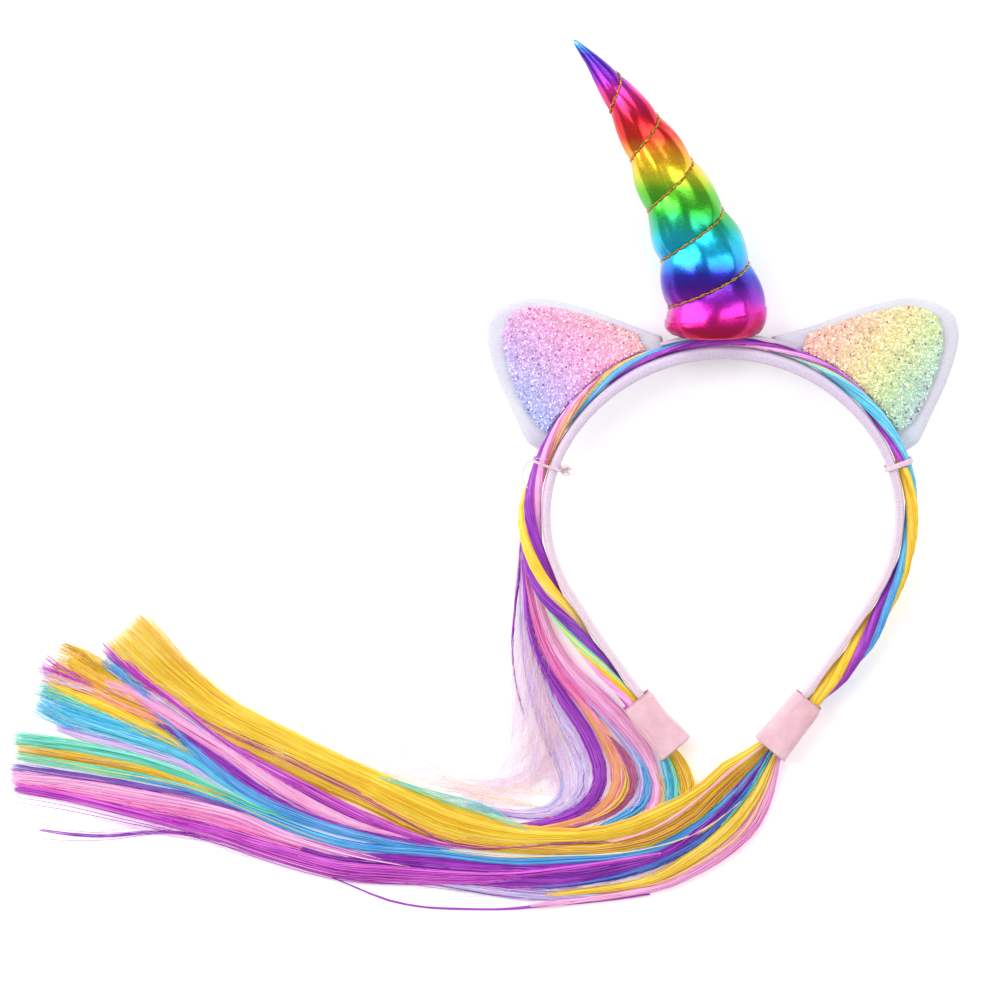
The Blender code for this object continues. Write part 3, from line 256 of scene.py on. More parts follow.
SIDE_FALL = (
    ("side thread", "purple", 14, ((12.7, -22.5, 0.4, 7), (12, -35.8, 0.7, 5), (10.5, -48.4, 0.5, 3),
     (9.5, -62.8, 0.4, 1.8), (10.5, -74.7, 0.3, 1), (13.8, -87.3, 0.3, 0.8))),
    ("side haze", "lilac", 60, ((12.7, -27.2, 0.5, 6), (13.8, -45.9, 1.4, 4.2), (14.9, -61, 2.2, 3.2),
     (17.8, -74.7, 3.2, 2.8), (23.1, -89.1, 4.7, 2.5), (29.3, -101.7, 6.1, 2.3), (31.8, -112.5, 5.4, 2.1),
     (26.7, -120.8, 3.2, 2), (15.9, -123.3, 1.8, 2), (5.1, -122.2, 1.1, 2), (-8, -119.5, 0.8, 2))),
    ("side purple", "purple", 110, ((13.4, -31.5, 0.5, 6.5), (14.9, -50.2, 1.3, 5),
     (17.4, -62.1, 1.6, 4.6), (22.4, -72.9, 2, 4.4), (29.3, -83.4, 2.3, 4.2), (36.1, -93.4, 2.5, 4),
     (40.4, -103.5, 2.5, 3.8), (41.5, -110.4, 2.3, 3.5), (39, -117.2, 2.3, 3.1), (33.2, -122.2, 1.8, 2.6),
     (23.1, -125.5, 1.1, 2.3), (10, -127.5, 0.8, 1.8))),
    ("side hot pink", "hotpink", 70, ((13.8, -27.2, 0.6, 7), (14.5, -38, 1.2, 6), (17.4, -51, 1.8, 5.3),
     (19.9, -59.6, 2, 5), (26, -71.5, 2.2, 4.8), (33.6, -80.8, 1.8, 4.6), (39.7, -89.1, 1.4, 4.4),
     (43.3, -95.6, 1.1, 4.3), (46, -104, 1, 3.6), (46, -112, 1, 2.8))),
    ("side salmon", "orange", 90, ((29.6, -76.9, 0.7, 4.7), (38.3, -87.7, 1.6, 4.7),
     (43.7, -96.3, 2.2, 4.5), (47.3, -104.2, 2.5, 4.3), (48.3, -112.5, 2.5, 3.9), (44.7, -119, 2.3, 3.2),
     (37.5, -124, 1.6, 2.6), (26.7, -126.9, 0.9, 2.3), (14, -129, 0.6, 1.8))),
    ("side gold", "gold", 34, ((49.1, -104.2, 0.5, 4.5), (50.9, -111.8, 1.3, 4.2),
     (47.6, -118.6, 1.4, 3.5), (41.1, -123, 1.1, 2.8), (30, -127.5, 0.8, 1.8))),
    ("side pink", "pink", 150, ((16.3, -36.9, 0.6, 6.4), (19.2, -48.4, 1.8, 5.7), (23.5, -61, 2.5, 5.5),
     (30.3, -71.5, 2.9, 5.4), (40.4, -81.6, 3.2, 5.3), (49.8, -91.3, 3.2, 5.1), (56.6, -99.9, 2.9, 4.8),
     (60.2, -107.8, 2.2, 4.4), (62, -115, 1.8, 3.7), (60.6, -120.1, 1.4, 3), (54, -126, 1.4, 2.2),
     (44, -129, 1, 1.6))),
    ("side lilac", "lilac", 44, ((35.7, -81.6, 0.5, 4.8), (42.6, -88, 1.1, 4.7), (49.8, -96, 1.4, 4.5),
     (54.8, -102.8, 1.4, 4.3), (56.6, -108.9, 1.4, 4), (56.5, -116, 1.4, 3), (51, -123.5, 1.2, 2.2),
     (40, -128.5, 0.8, 1.6))),
    ("side blue", "blue", 60, ((50.5, -97, 0.5, 4.6), (56.3, -105.3, 1.6, 4.4), (58.4, -112.5, 2.2, 3.9),
     (55.9, -119.7, 2, 3.1), (49.8, -123.7, 1.3, 2.6), (40, -128.5, 1, 1.8))),
    ("side wine", "wine", 70, ((41.1, -92, 0.5, 4.1), (49.1, -100.6, 1.4, 4), (52.7, -107.8, 2, 3.8),
     (52.3, -115, 2, 3.2), (46.2, -121.9, 1.6, 2.5), (37.5, -125.5, 0.9, 2.2), (26, -129, 0.7, 1.6))),
    ("side tan", "cream", 26, ((59.1, -104.6, 0.4, 4.6), (62.7, -111.4, 1.2, 4.1),
     (64.2, -116.8, 1.2, 3.3), (61, -123.5, 1.2, 2.4), (52, -128.5, 1, 1.8))),
)
LEFT_FALL = (
    ("left blue", "cyan", 44, ((59.9, -96, 0.7, 6.4), (62.7, -100.6, 1, 6.3), (64.5, -105.3, 1.3, 5.8),
     (66, -111.4, 1.5, 4.8), (66, -117.9, 1.6, 3.8), (64, -123.5, 1.3, 2.8))),
    ("left green", "aqua", 26, ((61.3, -95.6, 0.4, 7), (65.3, -102.4, 0.7, 6.6), (67.8, -108.9, 0.9, 5.6),
     (68.5, -116.8, 0.9, 4.6), (67, -123.5, 0.8, 3))),
    ("left yellow", "yellow", 70, ((63.5, -96, 0.9, 6.6), (67.8, -101.4, 1.9, 6.4),
     (70.7, -106.8, 2.3, 5.7), (72.5, -112.5, 2.5, 4.9), (71.8, -118.3, 2.3, 4), (70, -123, 1.8, 3))),
)


def smooth_at(rows, share):
    """The second column of a table at a share, smoothly between its rows."""
    before = rows[0]
    for row in rows:
        if row[0] >= share:
            if row is before:
                return row[1]
            along = (share - before[0]) / (row[0] - before[0])
            along = along * along * (3 - 2 * along)
            return before[1] * (1 - along) + row[1] * along
        before = row
    return rows[-1][1]


def rounded_route(rows, count):
    """The rows of a table as a smooth run of this many evenly spaced points, as an array."""
    rows = np.array(rows, float)
    padded = np.vstack([2 * rows[0] - rows[1], rows, 2 * rows[-1] - rows[-2]])
    fine = []
    for index in range(1, len(padded) - 2):
        a, b, c, d = padded[index - 1:index + 3]
        for t in np.arange(0, 1, 0.1):
            fine.append(0.5 * (2 * b + (c - a) * t + (2 * a - 5 * b + 4 * c - d) * t ** 2
                               + (3 * b - a - 3 * c + d) * t ** 3))
    fine.append(rows[-1])
    fine = np.array(fine)
    steps = np.linalg.norm(np.diff(fine[:, :2], axis=0), axis=1)
    far = np.concatenate([[0], np.cumsum(steps)])
    wanted = np.linspace(0, far[-1], count)
    return np.stack([np.interp(wanted, far, fine[:, i]) for i in range(fine.shape[1])], axis=1)


# The band's inner edge, and the frame that everything on the band is placed in.
EDGE_STEPS = 600


def heading_at(distance):
    """How far the band has turned downwards at a distance from its crown."""
    if distance < CROWN_ARC:
        return math.radians(CROWN_TURN) * distance / CROWN_ARC
    if distance < CROWN_ARC + TEMPLE_ARC:
        return math.radians(CROWN_TURN + TEMPLE_TURN * (distance - CROWN_ARC) / TEMPLE_ARC)
    down_leg = min((distance - CROWN_ARC - TEMPLE_ARC) / LEG_LENGTH, 1.0)
    return math.radians(CROWN_TURN + TEMPLE_TURN + LEG_TURN * down_leg)


def band_edge():
    """The right half of the band's inner edge as short steps, and a little past its end."""
    step = HALF_PATH / EDGE_STEPS
    spots = [(0.0, 0.0)]
    for index in range(EDGE_STEPS + 60):
        turn = heading_at((index + 0.5) * step)
        spots.append((spots[-1][0] + step * math.cos(turn), spots[-1][1] - step * math.sin(turn)))
    return spots


EDGE = band_edge()


def band_spot(distance, outward):
    """Where a point lies outward of the band's inner edge. Distance is negative on the left."""
    far = abs(distance) / (HALF_PATH / EDGE_STEPS)
    low = min(int(far), len(EDGE) - 2)
    rest = far - low
    turn = heading_at(abs(distance))
    x = EDGE[low][0] * (1 - rest) + EDGE[low + 1][0] * rest + outward * math.sin(turn)
    y = EDGE[low][1] * (1 - rest) + EDGE[low + 1][1] * rest + outward * math.cos(turn)
    return (x if distance >= 0 else -x), y


# The sleeves rest on the floor, and the crown is raised until the horn's lowest lobe touches it too.
END_LOW = band_spot(HALF_PATH, 0)[1]
REST_HEIGHT = SLEEVE_HALF_DEPTH + 0.21
RISE = math.asin((HORN_RADIUS * 1.085 - 1.15 - REST_HEIGHT) / -END_LOW)


def lifted(x, y, z):
    """From the band's own flat frame to the floor's, with the crown raised on the horn."""
    along = y - END_LOW
    return SHIFT + Vector((x, END_LOW + along * math.cos(RISE) - z * math.sin(RISE),
                           REST_HEIGHT + along * math.sin(RISE) + z * math.cos(RISE)))


def on_band(distance, outward, forward):
    """A point by its distance along the band, outward of its inner edge and towards its front."""
    x, y = band_spot(distance, outward)
    return lifted(x, y, forward)


def band_thick(distance):
    return BAND_THICK * smooth_at(BAND_THICKNESS, abs(distance) / HALF_PATH)


def twist_half(distance):
    """Half the twist's thickness. It is thinner on the right, where the distance is positive."""
    table = TWIST_LEFT if distance < 0 else TWIST_RIGHT
    return TWIST_HALF_THICK * smooth_at(table, abs(distance) / HALF_PATH)


def twist_outer(distance):
    """How far the twist's outer side lies from the band's inner edge."""
    return band_thick(distance) + GAP + 2 * twist_half(distance)


def rounded(turn, power):
    """The cosine and sine of a turn, squared off towards a box as the power falls."""
    return (math.copysign(abs(math.cos(turn)) ** power, math.cos(turn)),
            math.copysign(abs(math.sin(turn)) ** power, math.sin(turn)))


# Mesh helpers.
def show(name, work, finish, slot, *nodes):
    """Turns the worked mesh into a finished piece that rides on the object's one body."""
    mesh = bpy.data.meshes.new(name)
    work.to_mesh(mesh)
    work.free()
    mesh.shade_smooth()
    return show_mesh(name, mesh, finish, slot, *nodes)


def placed(name, data):
    """A new object in the scene, at the origin."""
    made = bpy.data.objects.new(name, data)
    bpy.context.scene.collection.objects.link(made)
    return made


def coat_with(data, finish):
    """Gives a mesh or curve its one material, or its list of them."""
    for coat in finish if isinstance(finish, list) else [finish]:
        data.materials.append(coat)


def give_tones(mesh, tones):
    """Gives each corner of a mesh the tone that the hair and flake materials read."""
    mesh.attributes.new("strand_tone", "FLOAT", "POINT").data.foreach_set("value", tones)


def show_mesh(name, mesh, finish, slot, *nodes):
    coat_with(mesh, finish)
    made = placed(name, mesh)
    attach(made, "root")
    if nodes:
        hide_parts(*nodes)
    return made


def wrapped(around, along, place, work=None, weld_ends=False):
    """A grid rolled into a skin: place(u, v) gives each corner, u round it and v along it."""
    fresh = bmesh.new()
    fresh.loops.layers.uv.new("UVMap")
    bmesh.ops.create_grid(fresh, x_segments=around, y_segments=along, size=0.5, calc_uvs=True)
    for corner in fresh.verts:
        corner.co = place(corner.co.x + 0.5, corner.co.y + 0.5) * MM
    bmesh.ops.remove_doubles(fresh, verts=fresh.verts, dist=0.000004)
    if not weld_ends:
        bmesh.ops.holes_fill(fresh, edges=[e for e in fresh.edges if e.is_boundary], sides=0)
    bmesh.ops.recalc_face_normals(fresh, faces=fresh.faces)
    if work is None:
        return fresh
    mesh = bpy.data.meshes.new("part")
    fresh.to_mesh(mesh)
    fresh.free()
    work.from_mesh(mesh)
    bpy.data.meshes.remove(mesh)
    return work


# Finishes.
def colour(red, green, blue):
    """A colour as seen on a screen, from 0 to 255, as light."""
    return tuple(((c / 255 + 0.055) / 1.055) ** 2.4 if c > 10 else c / 3295 for c in (red, green, blue))


class Finish:
    """A procedural material for one of the headband's surfaces."""

    def __init__(self, name, **settings):
        self.material = bpy.data.materials.new(name)
        self.material.use_nodes = True
        self.tree = self.material.node_tree
        self.shader = self.tree.nodes["Principled BSDF"]
        for socket, value in settings.items():
            self.shader.inputs[socket.replace("_", " ")].default_value = value

    def node(self, kind, **settings):
        made = self.tree.nodes.new(kind)
        for key, value in settings.items():
            if hasattr(made, key):
                setattr(made, key, value)
            else:
                made.inputs[key.replace("_", " ")].default_value = value
        return made

    def join(self, output, node, socket):
        self.tree.links.new(output, node.inputs[socket])

    def spots(self):
        return self.node("ShaderNodeTexCoord").outputs["Object"]

    def around_and_along(self):
        return self.node("ShaderNodeUVMap", uv_map="UVMap").outputs["UV"]

    def tone(self):
        return self.node("ShaderNodeAttribute", attribute_name="strand_tone").outputs["Fac"]

    def scaled(self, vector, scale):
        made = self.node("ShaderNodeMapping", Scale=(scale,) * 3)
        self.join(vector, made, "Vector")
        return made.outputs["Vector"]

    def split(self, vector):
        made = self.node("ShaderNodeSeparateXYZ")
        self.join(vector, made, "Vector")
        return made.outputs["X"], made.outputs["Y"]

    def grain(self, vector, scale, detail=3.0, rough=0.55):
        made = self.node("ShaderNodeTexNoise", Scale=scale, Detail=detail, Roughness=rough)
        self.join(vector, made, "Vector")
        return made.outputs["Fac"]

    def ramp(self, value, stops, smooth="LINEAR"):
        """Stops are a place from 0 to 1 with a grey, or with a colour as seen on a screen."""
        made = self.node("ShaderNodeValToRGB")
        band = made.color_ramp
        band.interpolation = smooth
        while len(band.elements) < len(stops):
            band.elements.new(0.5)
        for element, (place, shade) in zip(band.elements, stops):
            element.position = place
            element.color = (*(colour(*shade) if isinstance(shade, tuple) else (shade,) * 3), 1.0)
        self.join(value, made, "Fac")
        return made.outputs["Color"]

    def blend(self, first, second, share, kind="MIX"):
        made = self.node("ShaderNodeMix", data_type="RGBA", blend_type=kind)
        for value, socket in ((first, 6), (second, 7), (share, 0)):
            if isinstance(value, bpy.types.NodeSocket):
                self.tree.links.new(value, made.inputs[socket])
            elif socket == 0:
                made.inputs[0].default_value = value
            else:
                made.inputs[socket].default_value = (*value, 1.0)
        return made.outputs[2]

    def maths(self, kind, first, second):
        made = self.node("ShaderNodeMath", operation=kind)
        for value, socket in ((first, 0), (second, 1)):
            if isinstance(value, bpy.types.NodeSocket):
                self.tree.links.new(value, made.inputs[socket])
            else:
                made.inputs[socket].default_value = value
        return made.outputs[0]

    def relief(self, height, depth, strength=1.0, after=None):
        made = self.node("ShaderNodeBump", Strength=strength, Distance=depth * MM)
        self.join(height, made, "Height")
        if after is not None:
            self.join(after, made, "Normal")
        self.join(made.outputs["Normal"], self.shader, "Normal")
        return made.outputs["Normal"]

    def paint(self, shade):
        self.join(shade, self.shader, "Base Color")


def hair_finish(name, deep, middle, pale):
    """Shiny straight fibre with a faint painted glow in its own colour, which stands in for light let
    through it. Strands differ in tone, with slow runs of lighter tone.
    """
    # The emission strength here is for a painted glow, not a lamp.
    finish = Finish(name, Roughness=0.36, Specular_IOR_Level=0.5, Emission_Strength=0.1)
    tone = finish.tone()
    run = finish.grain(finish.scaled(finish.spots(), 60), 1.0, 2.0)
    share = finish.maths("ADD", finish.maths("MULTIPLY", tone, 0.72),
                          finish.maths("MULTIPLY", run, 0.42))
    shade = finish.ramp(share, ((0.1, deep), (0.45, middle), (0.98, pale)))
    finish.paint(shade)
    # Painted glow: the emission takes the fibre's own colour, at the strength set above.
    finish.join(shade, finish.shader, "Emission Color")
    return finish.material


# The deep, middle and pale tone of each hair colour, as seen on a screen.
HAIR_TONES = {
    "yellow": ((200, 146, 20), (253, 214, 44), (255, 242, 122)),
    "gold": ((160, 108, 24), (240, 188, 42), (255, 228, 98)),
    "orange": ((222, 122, 86), (250, 172, 128), (255, 214, 178)),
    "purple": ((74, 8, 102), (146, 34, 182), (208, 106, 234)),
    "violet": ((66, 28, 116), (114, 58, 170), (170, 120, 216)),
    "magenta": ((120, 14, 130), (200, 50, 202), (244, 134, 238)),
    "pink": ((236, 126, 196), (255, 184, 231), (255, 224, 247)),
    "hotpink": ((214, 64, 152), (248, 112, 198), (255, 178, 228)),
    "blue": ((26, 84, 170), (70, 158, 232), (150, 212, 254)),
    "cyan": ((22, 128, 188), (62, 198, 240), (158, 236, 254)),
    "aqua": ((58, 184, 164), (106, 226, 200), (180, 246, 226)),
    "lilac": ((176, 140, 220), (218, 192, 242), (242, 228, 253)),
    "wine": ((124, 40, 86), (184, 84, 138), (224, 150, 186)),
    "navy": ((26, 38, 118), (60, 80, 186), (118, 140, 224)),
    "cream": ((206, 178, 130), (240, 216, 174), (252, 238, 210)),
}
HAIR = {tint: hair_finish("hair_" + tint, *tones) for tint, tones in HAIR_TONES.items()}
# The other colours that show among the strands of each lock.
KIN = {"yellow": ("gold", "yellow", "orange"), "gold": ("yellow", "yellow", "wine"),
       "orange": ("pink", "gold", "hotpink"), "purple": ("magenta", "violet", "magenta"),
       "violet": ("purple", "navy", "blue"), "magenta": ("purple", "hotpink", "pink"),
       "pink": ("hotpink", "pink", "magenta"), "hotpink": ("pink", "magenta", "pink"),
       "blue": ("cyan", "navy", "cyan"), "cyan": ("blue", "aqua", "cyan"),
       "aqua": ("cyan", "yellow", "blue"), "lilac": ("pink", "purple", "blue"),
       "wine": ("magenta", "hotpink", "purple"), "navy": ("blue", "violet", "blue"),
       "cream": ("yellow", "pink", "gold")}
# Each colour of strand goes with one of the object's four hair colours.
SHADES = {"hair_yellow": ("yellow", "gold", "orange", "cream"), "hair_blue": ("blue", "cyan", "aqua"),
          "hair_purple": ("purple", "violet", "magenta", "wine", "navy"),
          "hair_pink": ("pink", "hotpink", "lilac")}
HAIR_NAMES = list(HAIR)
HAIR_COATS = list(HAIR.values())


def ribbon_finish():
    """Pale lilac ribbon with fine cross ribs and a row of small raised dots near its front edge, tinted
    darker as painted shade of the ribs.
    """
    finish = Finish("lilac_ribbon", Roughness=0.62, Sheen_Weight=0.25, Sheen_Roughness=0.4)
    across, along = finish.split(finish.around_and_along())
    ribs = finish.maths("SINE", finish.maths("MULTIPLY", along, 2 * math.pi * 430), 0.0)
    from_row = finish.maths("ABSOLUTE", finish.maths("SUBTRACT", across, 0.262), 0.0)
    row = finish.ramp(from_row, ((0.012, 1.0), (0.03, 0.0)), "EASE")
    dots = finish.ramp(ribs, ((0.35, 0.0), (0.8, 1.0)))
    spots = finish.blend((0, 0, 0), dots, row)
    weave = finish.grain(finish.spots(), 1400, 2.0)
    lilac = finish.ramp(weave, ((0.3, (206, 190, 216)), (0.7, (222, 208, 228))))
    rosy = finish.ramp(weave, ((0.3, (226, 200, 214)), (0.7, (238, 216, 226))))
    upward = finish.maths("MULTIPLY", finish.split(finish.spots())[1], 8.0)
    low_down = finish.ramp(finish.maths("ADD", upward, 0.5), ((0.1, 1.0), (0.75, 0.0)))
    base = finish.blend(lilac, rosy, low_down)
    # The dots' darker tint is painted shade of the ribs; their rise is in the relief below.
    finish.paint(finish.blend(base, colour(184, 160, 196), finish.maths("MULTIPLY", spots, 0.5)))
    fine = finish.relief(weave, 0.05)
    height = finish.maths("ADD", finish.maths("MULTIPLY", ribs, 0.16), spots)
    finish.relief(height, 0.07, 0.6, fine)
    return finish.material


def plush_finish():
    finish = Finish("white_plush", Roughness=0.95, Sheen_Weight=0.6, Sheen_Roughness=0.5,
                    Subsurface_Weight=0.12, Subsurface_Scale=0.002)
    spots = finish.spots()
    pile = finish.grain(spots, 1500, 4.0, 0.7)
    cloud = finish.grain(spots, 60, 2.0)
    base = finish.ramp(cloud, ((0.3, (208, 206, 222)), (0.7, (222, 220, 230))))
    dark = finish.ramp(pile, ((0.3, (192, 190, 212)), (0.6, (232, 232, 238))))
    finish.paint(finish.blend(base, dark, 0.35))
    finish.relief(pile, 0.25, 0.7)
    return finish.material


def glitter_ground_finish(name, tint):
    """The sheet under the flakes, with the ear's own tint and fine grains."""
    finish = Finish(name, Roughness=0.5, Specular_IOR_Level=0.6)
    ground = glitter_tint(finish, *tint)
    speck = finish.node("ShaderNodeTexVoronoi", Scale=900.0)
    finish.join(finish.spots(), speck, "Vector")
    bright = finish.ramp(speck.outputs["Distance"], ((0.0, 0.4), (0.5, 0.0)))
    finish.paint(finish.blend(ground, (0.9, 0.9, 0.95), bright))
    finish.relief(speck.outputs["Distance"], 0.2, 0.8)
    return finish.material


def glitter_tint(finish, stops, centre, turn, reach):
    """Colours that change across an ear in one direction, with a soft uneven border."""
    x, y = finish.split(finish.scaled(finish.spots(), 1 / (reach * MM)))
    x_part = finish.maths("MULTIPLY", finish.maths("SUBTRACT", x, centre[0] / reach), math.cos(turn))
    y_part = finish.maths("MULTIPLY", finish.maths("SUBTRACT", y, centre[1] / reach), math.sin(turn))
    share = finish.maths("ADD", finish.maths("ADD", x_part, y_part), 0.5)
    blur = finish.maths("MULTIPLY", finish.grain(finish.spots(), 130, 2.0), 0.16)
    return finish.ramp(finish.maths("ADD", share, finish.maths("SUBTRACT", blur, 0.08)), stops)


def flake_finish(name, tint):
    """Pearly flakes: mostly the ear's own tint, with darker and brighter ones among them."""
    finish = Finish(name, Roughness=0.22, Metallic=0.15, Specular_IOR_Level=0.8, Coat_Weight=0.5,
                    Coat_Roughness=0.1)
    ground = glitter_tint(finish, *tint)
    tone = finish.tone()
    odd_ones = finish.ramp(tone, ((0.0, (176, 96, 188)), (0.022, (236, 140, 216)),
                                  (0.055, (255, 255, 255)), (0.93, (255, 255, 255)),
                                  (0.96, (236, 255, 214)), (1.0, (206, 228, 255))), "CONSTANT")
    tinted = finish.blend(ground, odd_ones, 1.0, "MULTIPLY")
    shade = finish.ramp(tone, ((0.1, 0.84), (0.55, 0.97), (0.95, 1.1)))
    finish.paint(finish.blend(tinted, shade, 1.0, "MULTIPLY"))
    return finish.material


def foil_finish():
    """Rainbow foil: the bands of colour run level across the horn, over fine crushed grain."""
    finish = Finish("rainbow_foil", Roughness=0.27, Metallic=0.92, Coat_Weight=0.35,
                    Coat_Roughness=0.16)
    spots = finish.spots()
    wave = finish.maths("MULTIPLY", finish.grain(spots, 55, 2.0), 0.005)
    level = finish.maths("ADD", finish.split(spots)[1], wave)
    share = finish.maths("DIVIDE", finish.maths("SUBTRACT", level, 0.0455), 0.1105)
    bands = ((0.0, (196, 14, 36)), (0.045, (200, 14, 62)), (0.08, (206, 14, 112)),
             (0.13, (214, 20, 172)), (0.165, (146, 26, 186)), (0.215, (78, 26, 172)),
             (0.25, (44, 46, 186)), (0.275, (20, 120, 216)), (0.31, (12, 170, 224)),
             (0.37, (20, 192, 214)), (0.405, (24, 178, 140)), (0.45, (34, 172, 44)),
             (0.52, (96, 190, 36)), (0.56, (196, 206, 34)), (0.6, (238, 198, 34)),
             (0.65, (238, 140, 30)), (0.69, (222, 52, 32)), (0.75, (206, 18, 44)),
             (0.8, (216, 26, 92)), (0.84, (224, 48, 150)), (0.88, (150, 34, 194)),
             (0.925, (104, 36, 188)), (0.962, (74, 54, 194)), (0.982, (66, 128, 222)),
             (0.998, (112, 194, 242)))
    finish.paint(finish.ramp(share, bands))
    crush = finish.grain(spots, 900, 4.0, 0.65)
    dent = finish.grain(spots, 150, 3.0, 0.6)
    rough = finish.ramp(crush, ((0.3, 0.22), (0.7, 0.3)))
    finish.join(rough, finish.shader, "Roughness")
    soft = finish.relief(dent, 0.42, 0.42)
    finish.relief(crush, 0.03, 0.11, soft)
    return finish.material


def metal_thread_finish():
    finish = Finish("gold_thread", Roughness=0.28, Metallic=1.0)
    grain = finish.grain(finish.spots(), 2600, 2.0)
    finish.paint(finish.ramp(grain, ((0.35, (150, 92, 30)), (0.65, (246, 196, 92)))))
    finish.relief(grain, 0.05)
    return finish.material


def felt_finish(name, deep, pale, pile_scale, depth):
    finish = Finish(name, Roughness=0.9, Sheen_Weight=0.35, Sheen_Roughness=0.5)
    spots = finish.spots()
    pile = finish.grain(spots, pile_scale, 4.0, 0.7)
    cloud = finish.grain(spots, 140, 2.0)
    base = finish.ramp(cloud, ((0.3, deep), (0.7, pale)))
    fleck = finish.ramp(pile, ((0.3, 0.86), (0.65, 1.0)))
    finish.paint(finish.blend(base, fleck, 1.0, "MULTIPLY"))
    finish.relief(pile, depth, 0.7)
    return finish.material


# Strands. The sizes are a fall's: half a strand's thickness, the lowest that a strand's middle lies,
# and the share of strands that stray from their lock.
STRAND_THICK = 0.145
STRAND_FLOOR = 0.24
STRAY_SHARE = 0.05
# A lock with this many strands or more has a packed core.
CORE_COUNT = 70


def bevel_shape():
    """The three-cornered section that every strand is drawn with."""
    shape = bpy.data.curves.new("strand_section", "CURVE")
    shape.dimensions = "2D"
    ring = shape.splines.new("POLY")
    ring.points.add(2)
    ring.use_cyclic_u = True
    for index, point in enumerate(ring.points):
        turn = 2 * math.pi * index / 3
        point.co = (math.cos(turn), math.sin(turn), 0, 1)
    return placed("strand_section", shape)


def strands(name, drawn, finish, slot, *nodes):
    """Fine strands as one mesh. Each is its points, their half thicknesses, its coat and its tone."""
    section = bevel_shape()
    bundle = bpy.data.curves.new(name, "CURVE")
    bundle.dimensions = "3D"
    bundle.bevel_mode = "OBJECT"
    bundle.bevel_object = section
    bundle.use_fill_caps = True
    coat_with(bundle, finish)
    for points, thick, coat, _ in drawn:
        line = bundle.splines.new("POLY")
        line.points.add(len(points) - 1)
        line.points.foreach_set("co", np.hstack([points * MM, np.ones((len(points), 1))]).ravel())
        line.points.foreach_set("radius", np.asarray(thick) * MM)
        line.material_index = coat
    holder = placed(name + "_line", bundle)
    bpy.context.view_layer.update()
    graph = bpy.context.evaluated_depsgraph_get()
    mesh = bpy.data.meshes.new_from_object(holder.evaluated_get(graph), depsgraph=graph)
    mesh.name = name
    sides = len(section.data.splines[0].points)
    caps = [np.full(2 * sides, tone) for _, _, _, tone in reversed(drawn)]
    bodies = [np.full(len(points) * sides, tone) for points, _, _, tone in drawn]
    give_tones(mesh, np.concatenate(caps + bodies).astype(np.float32))
    mesh.shade_smooth()
    bpy.data.objects.remove(holder)
    bpy.data.objects.remove(section)
    return show_mesh(name, mesh, [], slot, *nodes)


def lock_frame(route, count):
    """A lock's middle line with the level direction across it, its half widths and its heights."""
    fine = rounded_route(route, count)
    ahead = np.gradient(fine[:, :2], axis=0)
    ahead /= np.linalg.norm(ahead, axis=1)[:, None] + 1e-9
    across = np.stack([ahead[:, 1], -ahead[:, 0]], axis=1)
    return fine, across


def lock_length(route):
    rows = np.array(route, float)
    return np.linalg.norm(np.diff(rows[:, :2], axis=0), axis=1).sum()


def begins_mid_hair(route):
    """Whether a lock starts among the others, past the sleeves, and not at a sleeve or the twist."""
    return route[0][0] < 58.0 and route[0][1] < -60.0


def lock_strands(entry, seed):
    """The strands of one lock, laid side by side in a flattened bundle with ragged tips."""
    _, tint, count, route = entry
    rng = np.random.default_rng(seed)
    length = lock_length(route)
    steps = int(max(12, min(28, length / 5.5)))
    fine, across = lock_frame(route, steps)
    free = begins_mid_hair(route)
    drawn = []
    for _ in range(count):
        side = math.copysign(abs(rng.uniform(-1, 1)) ** 0.85, rng.uniform(-1, 1))
        up = rng.uniform(-0.55, 1.0) * math.sqrt(max(0.05, 1 - 0.85 * side * side))
        start = 0 if rng.random() < 0.7 else int(rng.integers(0, max(1, steps // 4)))
        if free:
            start = int(rng.integers(0, max(2, steps // 4)))
        cut = rng.beta(1.3, 4.0) * (7.0 if rng.random() < 0.82 else 60.0)
        last = 1 - min(cut / length, 0.6)
        spread = np.linspace(0, 1, steps)
        phase, pace = rng.uniform(0, 6.28), rng.uniform(1.2, 3.6)
        drift = side + 0.13 * np.sin(phase + pace * 3.1 * spread) * (0.4 + spread)
        loose = 0.0
        if rng.random() < STRAY_SHARE:
            loose = rng.normal(0, 1.5) * spread ** 2 * rng.uniform(0.5, 2.2)
        wave = 0.12 * np.sin(phase * 1.7 + pace * 9 * spread) + loose
        flat = fine[:, :2] + across * ((drift * fine[:, 2])[:, None] + np.atleast_1d(wave)[:, None])
        height = fine[:, 3] * (0.72 + 0.28 * up) - 0.5 * fine[:, 3] * side * side * 0.7
        points = np.column_stack([flat, np.maximum(height, STRAND_FLOOR)])[start:]
        wanted = np.linspace(0, last * (len(points) - 1), max(5, int(len(points) * last)))
        points = np.stack([np.interp(wanted, np.arange(len(points)), points[:, i])
                           for i in range(3)], axis=1)
        taper = np.interp(np.linspace(0, 1, len(points)), (0, 0.08, 0.85, 1),
                          (0.2 if free else 0.7, 1, 1, 0.5))
        width = STRAND_THICK * rng.uniform(0.6, 1.25)
        own = tint if rng.random() < 0.8 else KIN[tint][int(rng.integers(0, 3))]
        drawn.append((points, taper * width, HAIR_NAMES.index(own), float(rng.beta(1.4, 1.3))))
    return drawn


